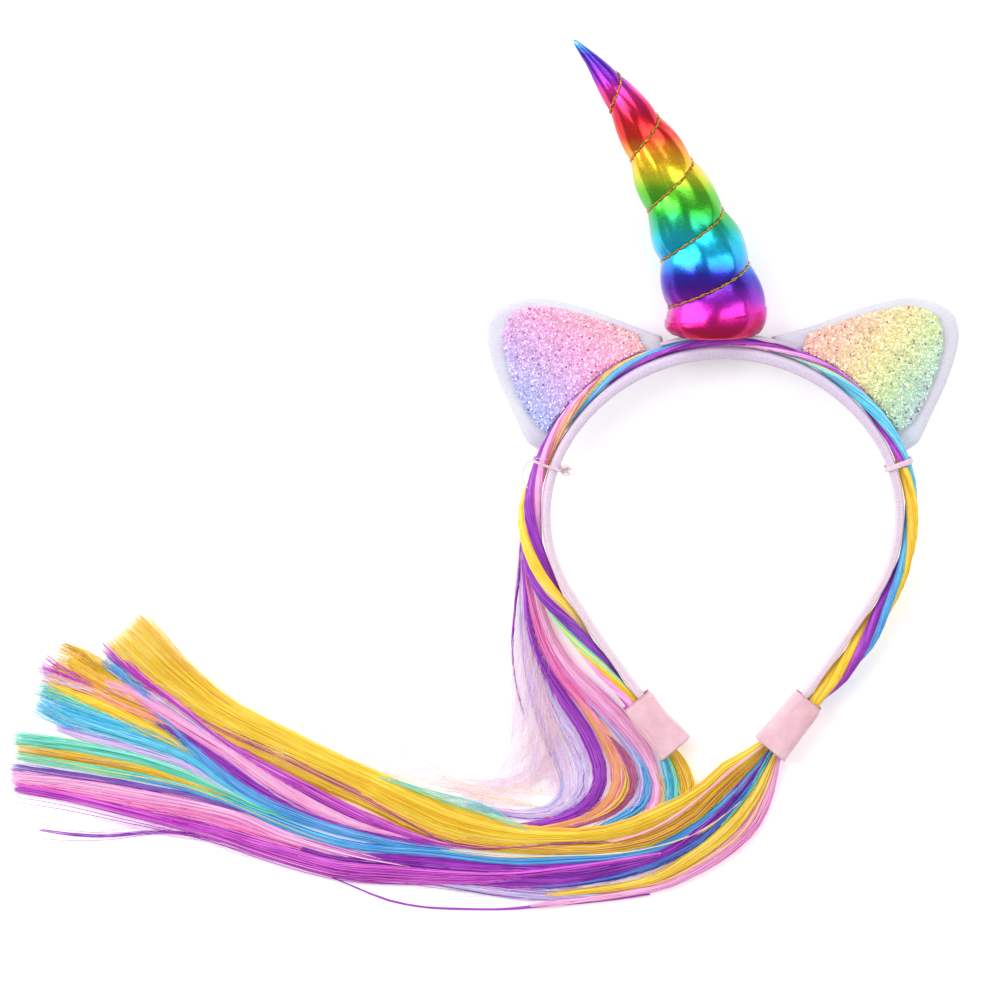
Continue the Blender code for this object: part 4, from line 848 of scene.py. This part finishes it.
def lock_core(entry, work):
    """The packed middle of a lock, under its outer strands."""
    _, tint, _, route = entry
    along = int(max(6, lock_length(route) / 5))
    fine, across = lock_frame(route, along + 1)
    tip = int((along + 1) * 0.86)
    free = begins_mid_hair(route)

    def place(u, v):
        row = min(int(round(v * along)), tip)
        x, y, half, height = fine[row]
        shrink = 1.0 if row < tip * 0.8 else max(0.15, 1 - (row - tip * 0.8) / (tip * 0.25))
        shrink *= min(1.0, 0.2 + row / (0.25 * along)) if free else 1.0
        turn = 2 * math.pi * u
        side, up = math.cos(turn), math.sin(turn)
        half, tall = half * 0.8 * shrink, max(height * 0.29 * shrink, 0.2)
        middle = max(height * 0.36, tall + 0.1)
        return Vector((x + across[row][0] * half * side, y + across[row][1] * half * side,
                       middle + tall * up))

    before = len(work.faces)
    wrapped(12, along, place, work)
    work.faces.ensure_lookup_table()
    for face in work.faces[before:]:
        face.material_index = HAIR_NAMES.index(tint)


def hair_piece(name, locks, slot, seed, node):
    """One fall of hair: its packed cores in one piece, and its strands in a piece for each colour."""
    work = bmesh.new()
    for entry in locks:
        if entry[2] >= CORE_COUNT:
            lock_core(entry, work)
    core = show(name + "_core", work, HAIR_COATS, slot, node)
    give_tones(core.data, [0.42 + 0.4 * noise.noise(v.co * 900) for v in core.data.vertices])
    drawn = []
    for index, entry in enumerate(locks):
        drawn += lock_strands(entry, seed + index)
    by_shade(name + "_strands", drawn)


def by_shade(name, drawn):
    """Sorts strands into a piece for each of the four hair colours."""
    for slot, tints in SHADES.items():
        wanted = [HAIR_NAMES.index(tint) for tint in tints]
        mine = [(points, thick, wanted.index(coat), tone) for points, thick, coat, tone in drawn
                if coat in wanted]
        if mine:
            strands(name + slot[4:], mine, [HAIR[tint] for tint in tints], slot)


# The band under its ribbon.
def make_band():
    reach = HALF_PATH - 6.5

    def place(u, v):
        distance = reach * (2 * v - 1)
        share = abs(distance) / HALF_PATH
        out, up = rounded(2 * math.pi * u, 0.42)
        thick = band_thick(distance)
        depth = BAND_DEPTH * smooth_at(BAND_WIDTH, share)
        return on_band(distance, thick * (0.5 + 0.5 * out), 0.5 * depth * up)

    show("band", wrapped(40, 420, place), ribbon_finish(), "ribbon", "headband")


# The twist: four locks wound round each other along the band's outer face. Each changes colour
# behind the band, half a turn from where it crosses the front, and the pink one also under the right
# tie. Each row has the lock's name, where its middle crosses the front, its slot, and for its six
# lengths from the left end to the right the colours of its body and of its edge. The cream edge of the
# blue lock's second length, the hot pink edge of the purple lock's second length and the pink edge of
# the yellow lock's fourth length are painted highlights.
TWIST = (("twist_yellow", 22.0, "hair_yellow",
          ("purple", "purple", "yellow", "purple", "yellow", "yellow"),
          ("magenta", "violet", "wine", "pink", "gold", "gold")),
         ("twist_blue", 41.0, "hair_blue",
          ("magenta", "yellow", "blue", "cyan", "blue", "blue"),
          ("pink", "cream", "cyan", "yellow", "cyan", "cyan")),
         ("twist_purple", 60.0, "hair_purple",
          ("pink", "purple", "purple", "cyan", "purple", "purple"),
          ("hotpink", "hotpink", "magenta", "yellow", "magenta", "magenta")),
         ("twist_pink", 79.0, "hair_pink",
          ("yellow", "pink", "purple", "purple", "yellow", "yellow"),
          ("aqua", "hotpink", "magenta", "magenta", "gold", "gold")))


def lengths_of_colour(name, middle, reach, tints, edges):
    """A lock cut where it changes colour: start, end, body colour and edge colour of each length."""
    rows = []
    for number, (tint, edge) in enumerate(zip(tints, edges)):
        first = max(-reach, middle + TWIST_PITCH * (number - 3.5))
        final = min(reach, middle + TWIST_PITCH * (number - 2.5))
        if name == "twist_pink" and first < TIE_PLACE < final:
            rows.append((first, TIE_PLACE, tint, edge))
            rows.append((TIE_PLACE, final, "yellow", "gold"))
        elif final - first > 4.0:
            rows.append((first, final, tint, edge))
    return rows


def twist_place(distance, place, side, up):
    """A point of a twisted lock: sideways and up from its own middle, in shares of its half width."""
    share = abs(distance) / HALF_PATH
    half = twist_half(distance)
    depth = TWIST_HALF_DEPTH * smooth_at(TWIST_WIDTH, share)
    turn = math.pi / 2 - 2 * math.pi * (distance - place) / TWIST_PITCH
    out = math.cos(turn) * 0.56 + side * 0.46
    rise = math.sin(turn) * 0.56 + up * 0.46
    return on_band(distance, band_thick(distance) + GAP + half * (1 + out),
                   smooth_at(TWIST_FORWARD, share) + depth * rise)


def make_twist():
    """Each lock is a grooved core under strands that wander a little round it."""
    reach = HALF_PATH - 8.5
    for number, (name, middle, slot, tints, edges) in enumerate(TWIST):
        lengths = lengths_of_colour(name, middle, reach, tints, edges)

        def place(u, v):
            distance = reach * (2 * v - 1)
            spin = -2 * math.pi * distance / TWIST_PITCH
            turn = 2 * math.pi * u
            groove = 0.96 - 0.04 * abs(math.sin(4.5 * turn))
            return twist_place(distance, middle, math.cos(turn + spin) * groove,
                               math.sin(turn + spin) * groove)

        core = show(name + "_core", wrapped(22, 300, place), HAIR_COATS, slot, name)
        along = core.data.uv_layers[0].data
        for face in core.data.polygons:
            v = sum(along[i].uv.y for i in face.loop_indices) / face.loop_total
            tint = next((row[2] for row in lengths if reach * (2 * v - 1) < row[1]), tints[-1])
            face.material_index = HAIR_NAMES.index(tint)
        give_tones(core.data, [0.5 + 0.2 * noise.noise(Vector((corner * 0.37, corner * 0.011, number)))
                               for corner in range(len(core.data.vertices))])
        rng = np.random.default_rng(400 + number)
        drawn = []
        for _ in range(64):
            around, phase = rng.uniform(0, 2 * math.pi), rng.uniform(0, 6.28)
            tone, thick = float(rng.beta(1.9, 1.6)), 0.13 * rng.uniform(0.7, 1.3)
            edge = 0.5 * math.cos(around) + 0.5 < 0.24
            for first, final, tint, other in lengths:
                final = min(reach, final + 1.5)
                steps = max(4, int((final - first) / 4.2))
                points = []
                for step in range(steps):
                    distance = first + (final - first) * step / (steps - 1)
                    spin = -2 * math.pi * distance / TWIST_PITCH
                    turn = around + spin + 0.3 * math.sin(phase + distance / 21)
                    points.append(twist_place(distance, middle, math.cos(turn), math.sin(turn)))
                # Strands on one side take the edge colour. On the three lengths named above the table,
                # that colour is a painted highlight.
                if rng.random() < (0.8 if edge else 0.1):
                    tint = other
                drawn.append((np.array(points), np.full(steps, thick), HAIR_NAMES.index(tint), tone))
        by_shade(name + "_strands", drawn)


# The horn.
def horn_spine():
    """The horn's middle line, each step with the directions across the horn and out of its front."""
    base = twist_outer(0.0) + 2 * GAP + FELT_THICK - HORN_SEAT
    lean = math.radians(HORN_LEAN)
    here = Vector((HORN_ASIDE, base, 0.0))
    spots = []
    for index in range(HORN_STEPS + 1):
        turn = math.radians(smooth_at(HORN_HEADINGS, index / HORN_STEPS))
        ahead = Vector((-math.sin(turn), math.cos(turn) * math.cos(lean),
                        math.cos(turn) * math.sin(lean)))
        across = Vector((math.cos(turn), math.sin(turn) * math.cos(lean),
                         math.sin(turn) * math.sin(lean)))
        spots.append((here.copy(), across, ahead.cross(across) * -1))
        here = here + ahead * (HORN_LENGTH / HORN_STEPS)
    return spots


SPINE = horn_spine()


def horn_place(height, turn, radius):
    """A point at a height along the bent horn, a turn round it and a radius from its middle line."""
    index = max(0.0, min(height / HORN_LENGTH, 1.0)) * HORN_STEPS
    low = min(int(index), HORN_STEPS - 1)
    spot, across, front = (SPINE[low][i].lerp(SPINE[low + 1][i], index - low) for i in range(3))
    spot = spot - across * (radius * math.cos(turn)) + front * (radius * math.sin(turn))
    return lifted(spot.x, spot.y, spot.z)


def horn_radius(height, turn):
    """The stuffed cover's radius: full lobes between tight spiral grooves, puckered beside them."""
    share = max(0.0, min(height / HORN_LENGTH, 1.0))
    inner = 0.8 + (HORN_RADIUS - 0.8) * (1 - share ** 1.35)
    inner *= 0.965
    phase = (height - HORN_FIRST_GROOVE) / HORN_PITCH - turn / (2 * math.pi)
    bulge = abs(math.sin(math.pi * phase)) ** 0.72
    if height < 7.5:
        bulge = max(bulge, 0.35 + 0.65 * height / 7.5)
    fade = max(0.0, min((HORN_LENGTH - height) / 22.0, 1.0))
    away = abs(phase - round(phase)) * HORN_PITCH
    spot = Vector((math.cos(turn) * 2.2, math.sin(turn) * 2.2, height * 0.055))
    pucker = noise.noise(Vector((turn * 3.4, height * 0.03, 5.0))) * math.exp(-away / 3.2) * 0.5
    dent = noise.noise(spot * 1.3) * 0.55 * bulge
    radius = inner + (inner * 0.115 + 0.4) * bulge * fade + (pucker + dent) * fade * min(1, inner / 9)
    return radius * (1 - 0.15 * max(0.0, 1 - height / 5.5) ** 2.2)


def droop(turn):
    """How far the lowest lobe hangs over the twist, in front of it only."""
    return 1.9 * max(0.0, math.sin(turn) - 0.45) / 0.55


def make_horn():
    """The stuffed cover and the two plies of gold thread wound up its grooves."""
    rows = 300
    # The dished underside from its middle outwards, by height and share of the radius.
    foot = ((2.9, 0.02), (2.9, 0.35), (2.6, 0.6), (1.5, 0.75), (0.7, 0.81))

    def place(u, v):
        row = round(v * rows)
        turn = 2 * math.pi * (u % 1.0)
        if row < len(foot):
            height, share = foot[row]
            return horn_place(height - droop(turn) * share ** 3, turn, HORN_RADIUS * 1.03 * share)
        along = (row - len(foot)) / (rows - len(foot))
        height = 0.6 + (HORN_LENGTH - 0.6) * along
        radius = horn_radius(height, turn)
        if row > rows - 6:
            radius *= math.sqrt(max(0.0, 1 - ((row - rows + 6) / 6) ** 2)) + 0.02
        sink = droop(turn) * max(0.0, 1 - height / 9) ** 2
        return horn_place(height - sink, turn, radius)

    horn = show("horn", wrapped(112, rows, place), foil_finish(), "foil", "horn_cover")
    drawn = []
    first, last = -0.25, (HORN_LENGTH - 12.0 - HORN_FIRST_GROOVE) / HORN_PITCH
    steps = 900
    for ply in (0.0, math.pi):
        points = []
        for step in range(steps):
            turns = first + (last - first) * step / (steps - 1)
            turn = 2 * math.pi * turns
            height = HORN_FIRST_GROOVE + HORN_PITCH * turns
            wind = ply + step * 0.42
            points.append(horn_place(height + 0.24 * math.cos(wind), turn,
                                     horn_radius(height, turn % (2 * math.pi)) + 0.35
                                     + 0.24 * math.sin(wind)))
        drawn.append((np.array(points), np.full(steps, 0.3), 0, 0.5))
    strands("thread", drawn, metal_thread_finish(), "gold_thread", "horn_thread")


def make_felt_strip():
    """The strip of felt under the horn's foot, along the twist's outer side."""
    low_edge = EAR_BACK + EAR_THICK + GAP

    def place(u, v):
        distance = FELT_LENGTH * (v - 0.46)
        out, up = rounded(2 * math.pi * u, 0.5)
        narrow = FELT_WIDTH / 2 * (1 - 0.35 * abs(2 * v - 1) ** 3)
        return on_band(distance, twist_outer(distance) + GAP + FELT_THICK / 2 * (1 + out),
                       low_edge + FELT_WIDTH / 2 + up * narrow)

    lilac = felt_finish("lilac_felt", (196, 178, 206), (218, 204, 224), 1600, 0.2)
    strip = show("felt_strip", wrapped(24, 60, place), lilac, "felt", "horn_felt")


# The ears.
def ear_spot(side, across, out):
    """A point of an ear, across it and out from the band, in the band's flat frame."""
    radius = CROWN_RADIUS + BAND_THICK
    sine, cosine = math.sin(EAR_TURN), math.cos(EAR_TURN)
    x = radius * sine + across * cosine + out * sine
    y = -CROWN_RADIUS + radius * cosine - across * sine + out * cosine
    return Vector((side * x, y))


def soft_panel(side, outline, foot_reach, clear, back, thick, edge, lumps, columns=72, rows=44):
    """A soft slab between its foot line and its outer line, rounded over at its edge."""
    top = rounded_route([ear_spot(side, a * EAR_HALF_WIDTH, o * EAR_HEIGHT) for a, o in outline], 61)
    foot = []
    for index in range(61):
        distance = EAR_MIDDLE - foot_reach + 2 * foot_reach * index / 60
        x, y = band_spot(distance, clear(side * distance))
        foot.append((side * x, y))
    foot = np.array(foot)
    border = np.vstack([top, foot[::-1]])
    ring = np.vstack([border, border[:1]])

    def from_edge(point):
        span = ring[1:] - ring[:-1]
        away = point - ring[:-1]
        share = np.clip((away * span).sum(1) / ((span ** 2).sum(1) + 1e-9), 0, 1)
        return np.sqrt(((away - span * share[:, None]) ** 2).sum(1).min())

    def half(facing):
        def place(u, v):
            spread = u * 60
            low = min(int(spread), 59)
            rest = spread - low
            upper = top[low] * (1 - rest) + top[low + 1] * rest
            lower = foot[low] * (1 - rest) + foot[low + 1] * rest
            share = 0.5 - 0.5 * math.cos(math.pi * v)
            point = lower * (1 - share) + upper * share
            in_by = min(from_edge(point) / edge, 1.0)
            swell = math.sqrt(max(0.0, 1 - (1 - in_by) ** 2))
            lump = lumps * noise.noise(Vector((point[0] * 0.09, point[1] * 0.09, facing))) * in_by
            height = back + thick * (0.5 + 0.5 * facing * swell) + lump * (facing > 0)
            return lifted(point[0], point[1], height)
        return place

    work = bmesh.new()
    wrapped(columns, rows, half(1.0), work, weld_ends=True)
    wrapped(columns, rows, half(-1.0), work, weld_ends=True)
    bmesh.ops.remove_doubles(work, verts=work.verts, dist=0.00002)
    bmesh.ops.recalc_face_normals(work, faces=work.faces)
    return work


# Each ear's colours from one side to the other, the way they run and how far, in millimetres.
EAR_TINTS = {
    "left": (((0.0, (176, 198, 250)), (0.22, (202, 194, 248)), (0.42, (230, 188, 242)),
              (0.62, (250, 184, 230)), (0.8, (255, 186, 216)), (1.0, (255, 202, 196))),
             math.radians(52), 52.0),
    "right": (((0.0, (255, 200, 186)), (0.25, (255, 220, 186)), (0.45, (250, 236, 172)),
               (0.65, (224, 240, 180)), (0.82, (198, 232, 204)), (1.0, (192, 210, 232))),
              math.radians(-38), 52.0),
}


def make_ear(side, name):
    """One plush ear with its glitter panel. The side is -1 for the left one."""
    plush = bpy.data.materials.get("white_plush") or plush_finish()
    work = soft_panel(side, (EAR_TIPS[side],) + EAR_OUTLINE, EAR_FOOT, lambda d: band_thick(d) + GAP,
                      EAR_BACK, EAR_THICK, 2.6, 0.35)
    ear = show("plush_ear_" + name, work, plush, "plush", "ear_" + name)
    low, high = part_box("ear_panel_" + name)
    centre = ((low.x + high.x) / 2 / MM, (low.y + high.y) / 2 / MM)
    stops, turn, reach = EAR_TINTS[name]
    tint = stops, centre, turn, reach
    work = soft_panel(side, PANEL_OUTLINE, 0.75 * EAR_FOOT, lambda d: twist_outer(d) + GAP,
                      EAR_BACK + EAR_THICK + GAP, PANEL_THICK, 1.6, 0.2, 56, 34)
    ground = glitter_ground_finish("glitter_ground_" + name, tint)
    panel = show("glitter_panel_" + name, work, ground, "glitter", "ear_panel_" + name)
    flakes_on(panel, name, flake_finish("glitter_flakes_" + name, tint))


def flakes_on(panel, name, finish):
    """Small six-sided flakes strewn over a panel's front, each tipped its own way."""
    rng = random.Random(71 if name == "left" else 72)
    tops = [f for f in panel.data.polygons if f.normal.z > 0.2]
    areas = np.array([f.area for f in tops])
    reach = np.cumsum(areas) / areas.sum()
    work = bmesh.new()
    tones = work.verts.layers.float.new("strand_tone")
    bmesh.ops.create_circle(work, cap_ends=True, radius=1.0, segments=6)
    while len(work.faces) < 3300:
        bmesh.ops.duplicate(work, geom=work.verts[:] + work.edges[:] + work.faces[:])
    for flake in work.faces:
        face = tops[min(int(np.searchsorted(reach, rng.random())), len(tops) - 1)]
        corners = [panel.data.vertices[i].co for i in face.vertices]
        first, second = rng.random(), rng.random()
        spot = corners[0].lerp(corners[1], first).lerp(corners[-1].lerp(corners[2 % len(corners)],
                                                                       first), second)
        spot = spot + Vector((0, 0, rng.uniform(0.0001, 0.00035)))
        size = rng.uniform(0.27, 0.5) * MM
        tilt = Vector((rng.gauss(0, 0.3), rng.gauss(0, 0.3), 1.0)).normalized()
        turn = tilt.to_track_quat("Z", "Y").to_matrix()
        tone = rng.random()
        for corner in flake.verts:
            corner.co = spot + turn @ (corner.co * size)
            corner[tones] = tone
    bmesh.ops.solidify(work, geom=work.faces[:], thickness=0.00006)
    flakes = show("glitter_flakes_" + name, work, finish, "glitter")
    flakes.data.shade_flat()


# The sleeves.
def make_sleeve(side, name):
    """A short sleeve of felt round the band and the hair, with an outer and an inner face."""
    middle = 0.5 * (band_thick(HALF_PATH) + GAP + 2 * twist_half(HALF_PATH))
    finish = bpy.data.materials.get("pink_felt_cloth") or felt_finish(
        "pink_felt_cloth", (232, 180, 194), (242, 200, 211), 1900, 0.09)

    def place(u, v):
        inner = v > 0.5
        share = 1 - abs(2 * v - 1)
        distance = HALF_PATH - SLEEVE_LENGTH * (1 - share)
        out, up = rounded(2 * math.pi * u, 0.5)
        width = SLEEVE_HALF_WIDTH * smooth_at(SLEEVE_WIDTH, share)
        seam = math.cos(2 * math.pi * u)
        fold = abs(noise.noise(Vector((seam * 2.4, share * 1.8, side * 3.0 + 7.0)))) * 1.1
        ripple = 1 + math.sin(6.28 * (u * 3 + share * 1.1 + 0.2 * side))
        crease = 0.35 * ripple * share * (1 - share) * 2
        less = SLEEVE_WALL if inner else 0.0
        if not inner:
            out *= 1 + (fold + crease) / width
            up *= 1 + 0.5 * (fold + crease) / SLEEVE_HALF_DEPTH
        lip = 0.35 * math.sin(math.pi * min(1.0, share / 0.06)) if share < 0.06 else 0.0
        x, y = band_spot(distance, middle + out * (width - less - lip))
        spot = lifted(side * x, y, up * (SLEEVE_HALF_DEPTH - less - lip))
        spot.z = max(spot.z, 0.03 + less)
        return spot

    work = wrapped(64, 72, place, weld_ends=True)
    cloth = show("sleeve_cloth_" + name, work, finish, "satin", "sleeve_" + name)


# The ties.
def tie_route(side, distance, clear):
    """A tie's way round the band and the twist: how far outward and forward each point lies."""
    thick = band_thick(distance)
    outer = twist_outer(side * distance)
    share = distance / HALF_PATH
    band = 0.5 * BAND_DEPTH * smooth_at(BAND_WIDTH, share)
    ahead = smooth_at(TWIST_FORWARD, share)
    twist = TWIST_HALF_DEPTH * smooth_at(TWIST_WIDTH, share)
    return ((-clear, 0.0), (-clear, band * 0.55), (-clear * 0.7, band + clear * 0.6),
            (thick * 0.5, band + clear), (thick, band + clear),
            (thick + 0.3 * (outer - thick), max(ahead + twist, band) + clear),
            (thick + 0.68 * (outer - thick), ahead + twist + clear),
            (outer + 0.1, ahead + twist * 0.8 + clear * 0.8), (outer + clear, ahead + twist * 0.4),
            (outer + clear, ahead), (outer + clear, ahead - twist * 0.4),
            (outer + 0.1, ahead - twist * 0.8 - clear * 0.8),
            (thick + 0.68 * (outer - thick), -band - clear), (thick, -band - clear),
            (thick * 0.5, -band - clear), (-clear * 0.7, -band - clear * 0.6),
            (-clear, -band * 0.55))


def make_tie(side, name, half_flat, finish):
    """One flat thread round the band and the twist, half_flat wide to either side of its middle."""
    route = np.array(tie_route(side, TIE_PLACE, 0.65))
    closed = rounded_route(np.vstack([route, route[:1]]), 97)

    def place(u, v):
        row = int(round(v * 96)) % 96
        ahead = closed[(row + 1) % 96] - closed[row - 1]
        ahead = ahead / np.linalg.norm(ahead)
        along, off = rounded(2 * math.pi * u, 0.8)
        skew = 0.5 * math.sin(2 * math.pi * v) if side < 0 else 0.15
        spot = closed[row] + np.array((-ahead[1], ahead[0])) * off * 0.3
        x, y = band_spot(TIE_PLACE + half_flat * along + skew, spot[0])
        return lifted(side * x, y, spot[1])

    show("tie_loop_" + name, wrapped(12, 96, place, weld_ends=True), finish, "tie_thread",
         "tie_" + name)


def make_ties():
    """Both ties, with the frayed knot and the thin tail that show at the left one."""
    finish = felt_finish("tie_thread", (224, 192, 206), (240, 218, 229), 2400, 0.05)
    make_tie(-1, "left", 0.45, finish)
    make_tie(1, "right", 0.9, finish)
    rng = np.random.default_rng(9)
    drawn = []
    distance = TIE_PLACE
    half = 0.5 * BAND_DEPTH * smooth_at(BAND_WIDTH, distance / HALF_PATH)
    x, y = band_spot(-distance, -0.9)
    knot = np.array(lifted(x, y, half * 0.7))
    for _ in range(34):
        turn = rng.uniform(-2.6, 0.9)
        reach = rng.uniform(1.6, 5.4) * (1.0 if abs(turn) < 1.2 else 0.55)
        way = np.array((math.cos(turn * 0.6) * reach, math.sin(turn) * reach * 0.55,
                        rng.uniform(-1.2, 1.6)))
        start = knot + rng.normal(0, 0.35, 3)
        bend = rng.normal(0, 0.35, 3)
        points = np.array([start + way * t + bend * math.sin(math.pi * t)
                           for t in (0, 0.25, 0.5, 0.75, 1.0)])
        drawn.append((points, np.array((0.26, 0.24, 0.2, 0.15, 0.05)), 0, float(rng.random())))
    strands("tie_knot_left", drawn, finish, "tie_thread")
    route = [(15.2, -5.8, 23.2), (13.6, -3.2, 22.4), (13.4, 0.5, 21.6), (15.0, 3.4, 22.0),
             (18.2, 5.0, 22.9), (22.0, 4.6, 23.6)]
    line = rounded_route(route, 30)
    strands("tie_tail_left", [(line, np.full(30, 0.2), 0, 0.5)], finish, "tie_thread")


# Loose strands round the falls.
def flyaways():
    """Single pale hairs beside the locks, each wavy and through three points that wander a little."""
    rng = np.random.default_rng(21)
    drawn = []

    def fly(points, tint, thick=0.07):
        line = rounded_route(points, 13)
        frizz = np.linspace(0, rng.uniform(11, 19), 13) + rng.uniform(0, 6.28)
        line[:, 0] += 0.6 * np.sin(frizz)
        line[:, 1] += 0.4 * np.cos(frizz * 0.8)
        line[:, 2] = np.maximum(line[:, 2], 0.12)
        drawn.append((line, np.linspace(1.0, 0.45, 13) * thick, HAIR_NAMES.index(tint),
                      float(rng.uniform(0.5, 1.0))))

    def wander(start, via, end, spread, lift):
        return [tuple(np.array(p) + np.append(rng.normal(0, s, 2), abs(rng.normal(0, lift))))
                for p, s in zip((start, via, end), spread)]

    # The frizz inside the curve of the side fall.
    pale = ("lilac", "pink", "cream", "lilac", "pink", "lilac", "cream")
    for _ in range(330):
        t = rng.uniform(0, 1)
        start = (14.0 + 9 * t + rng.normal(0, 1), -34.0 - 62 * t, 3.0)
        via = (19.0 + 14 * t - rng.uniform(0, 14), -82.0 - 26 * t, 1.0)
        end = (34.0 - 62 * rng.beta(1.3, 2.0), -118.0 - rng.uniform(-6, 9), 0.5)
        fly(wander(start, via, end, (1.2, 3.2, 3.0), 0.5), pale[int(rng.integers(0, 7))], 0.06)
    # Hairs that reach from there along the upper edge of the main fall.
    for _ in range(64):
        start = (26.0 - rng.uniform(0, 30), -116.0 - rng.uniform(-3, 8), 1.0)
        via = (-16.0 - rng.uniform(0, 22), -107.0 + rng.uniform(-7, 5), 1.2)
        end = (-40.0 - rng.uniform(0, 38), -93.0 + rng.uniform(-7, 7), 0.6)
        fly(wander(start, via, end, (1.5, 2.0, 2.6), 0.4),
            ("cream", "gold", "lilac", "pink")[int(rng.integers(0, 4))], 0.065)
    # Hairs along the lower edge of the main fall.
    for _ in range(102):
        x = rng.uniform(-150, 20)
        edge = np.interp(x, (-160, -120, -80, -40, 0, 30), (-128, -126, -137, -144, -150, -149))
        begin = np.interp(x + 60, (-100, -60, -20, 30, 80), (-134, -142, -147, -150, -135))
        start = (x + 60, begin, 1.4)
        via = (x + 25, edge - rng.uniform(0, 2), 0.8)
        fly(wander(start, via, (x - 4, edge + rng.normal(1, 3), 0.3), (1.0, 1.4, 1.6), 0.3),
            ("magenta", "lilac", "purple", "pink")[int(rng.integers(0, 4))], 0.065)
    # Golden hairs over the far end of the main fall.
    for _ in range(70):
        t = rng.uniform(0, 1)
        start = (-70.0 - 40 * t, -104.0 + 26 * t, 4.0)
        end = (start[0] - rng.uniform(18, 42), start[1] + rng.uniform(14, 34), 1.0)
        middle = ((start[0] + end[0]) / 2 - 2, (start[1] + end[1]) / 2 - 2, 2.6)
        fly(wander(start, middle, end, (1.2, 1.2, 2.0), 0.4),
            ("yellow", "gold", "yellow", "cream")[int(rng.integers(0, 4))], 0.07)
    strands("flyaways", drawn, HAIR_COATS, "hair_pink")


def make_hair():
    """The three falls, each with its own seed, and the flyaways."""
    hair_piece("fall_right", RIGHT_FALL, "hair_yellow", 100, "hair_fall_right")
    hair_piece("fall_side", SIDE_FALL, "hair_pink", 200, "hair_fall_side")
    hair_piece("fall_left", LEFT_FALL, "hair_blue", 300, "hair_fall_left")
    flyaways()


# Floor, lights and camera.
def make_stage():
    """A white paper floor, three soft lights and a camera straight above, as in the photograph."""
    work = bmesh.new()
    bmesh.ops.create_grid(work, x_segments=1, y_segments=1, size=3.0)
    mesh = bpy.data.meshes.new("floor")
    work.to_mesh(mesh)
    work.free()
    paper = Finish("white_paper", Roughness=0.9, Emission_Color=(1.0, 1.0, 1.0, 1.0),
                   Emission_Strength=0.22)
    grain = paper.grain(paper.spots(), 400, 2.0)
    paper.paint(paper.ramp(grain, ((0.3, 0.93), (0.7, 0.95))))
    mesh.materials.append(paper.material)
    placed("floor", mesh)
    world = bpy.data.worlds.new("studio")
    world.use_nodes = True
    sky = world.node_tree.nodes["Background"].inputs
    sky["Color"].default_value = (1.0, 1.0, 1.0, 1.0)
    sky["Strength"].default_value = 0.42
    bpy.context.scene.world = world
    bpy.context.scene.view_settings.view_transform = "Standard"
    for name, spot, size, power in (("left_softbox", (-0.9, 0.25, 0.74), (0.5, 1.7), 12.6),
                                    ("right_softbox", (0.85, 0.1, 0.85), (0.4, 1.5), 5.6),
                                    ("top_softbox", (0.05, 0.95, 0.95), (1.3, 0.5), 5.6)):
        lamp = bpy.data.lights.new(name, "AREA")
        lamp.shape = "RECTANGLE"
        lamp.size, lamp.size_y = size
        lamp.energy = power
        made = placed(name, lamp)
        made.location = spot
        made.rotation_mode = "QUATERNION"
        made.rotation_quaternion = (Vector((0.03, 0.0, 0.0)) - Vector(spot)).to_track_quat("-Z", "Y")
    camera = bpy.data.cameras.new("camera")
    camera.lens = 400.0
    camera.sensor_width = 36.0
    camera.clip_end = 20.0
    eye = placed("camera", camera)
    eye.location = (0.0035, -0.0099, 4.0)
    bpy.context.scene.camera = eye


make_stage()
make_band()
make_twist()
make_horn()
make_felt_strip()
make_ear(-1, "left")
make_ear(1, "right")
make_sleeve(-1, "left")
make_sleeve(1, "right")
make_ties()
make_hair()

bpy.context.view_layer.update()
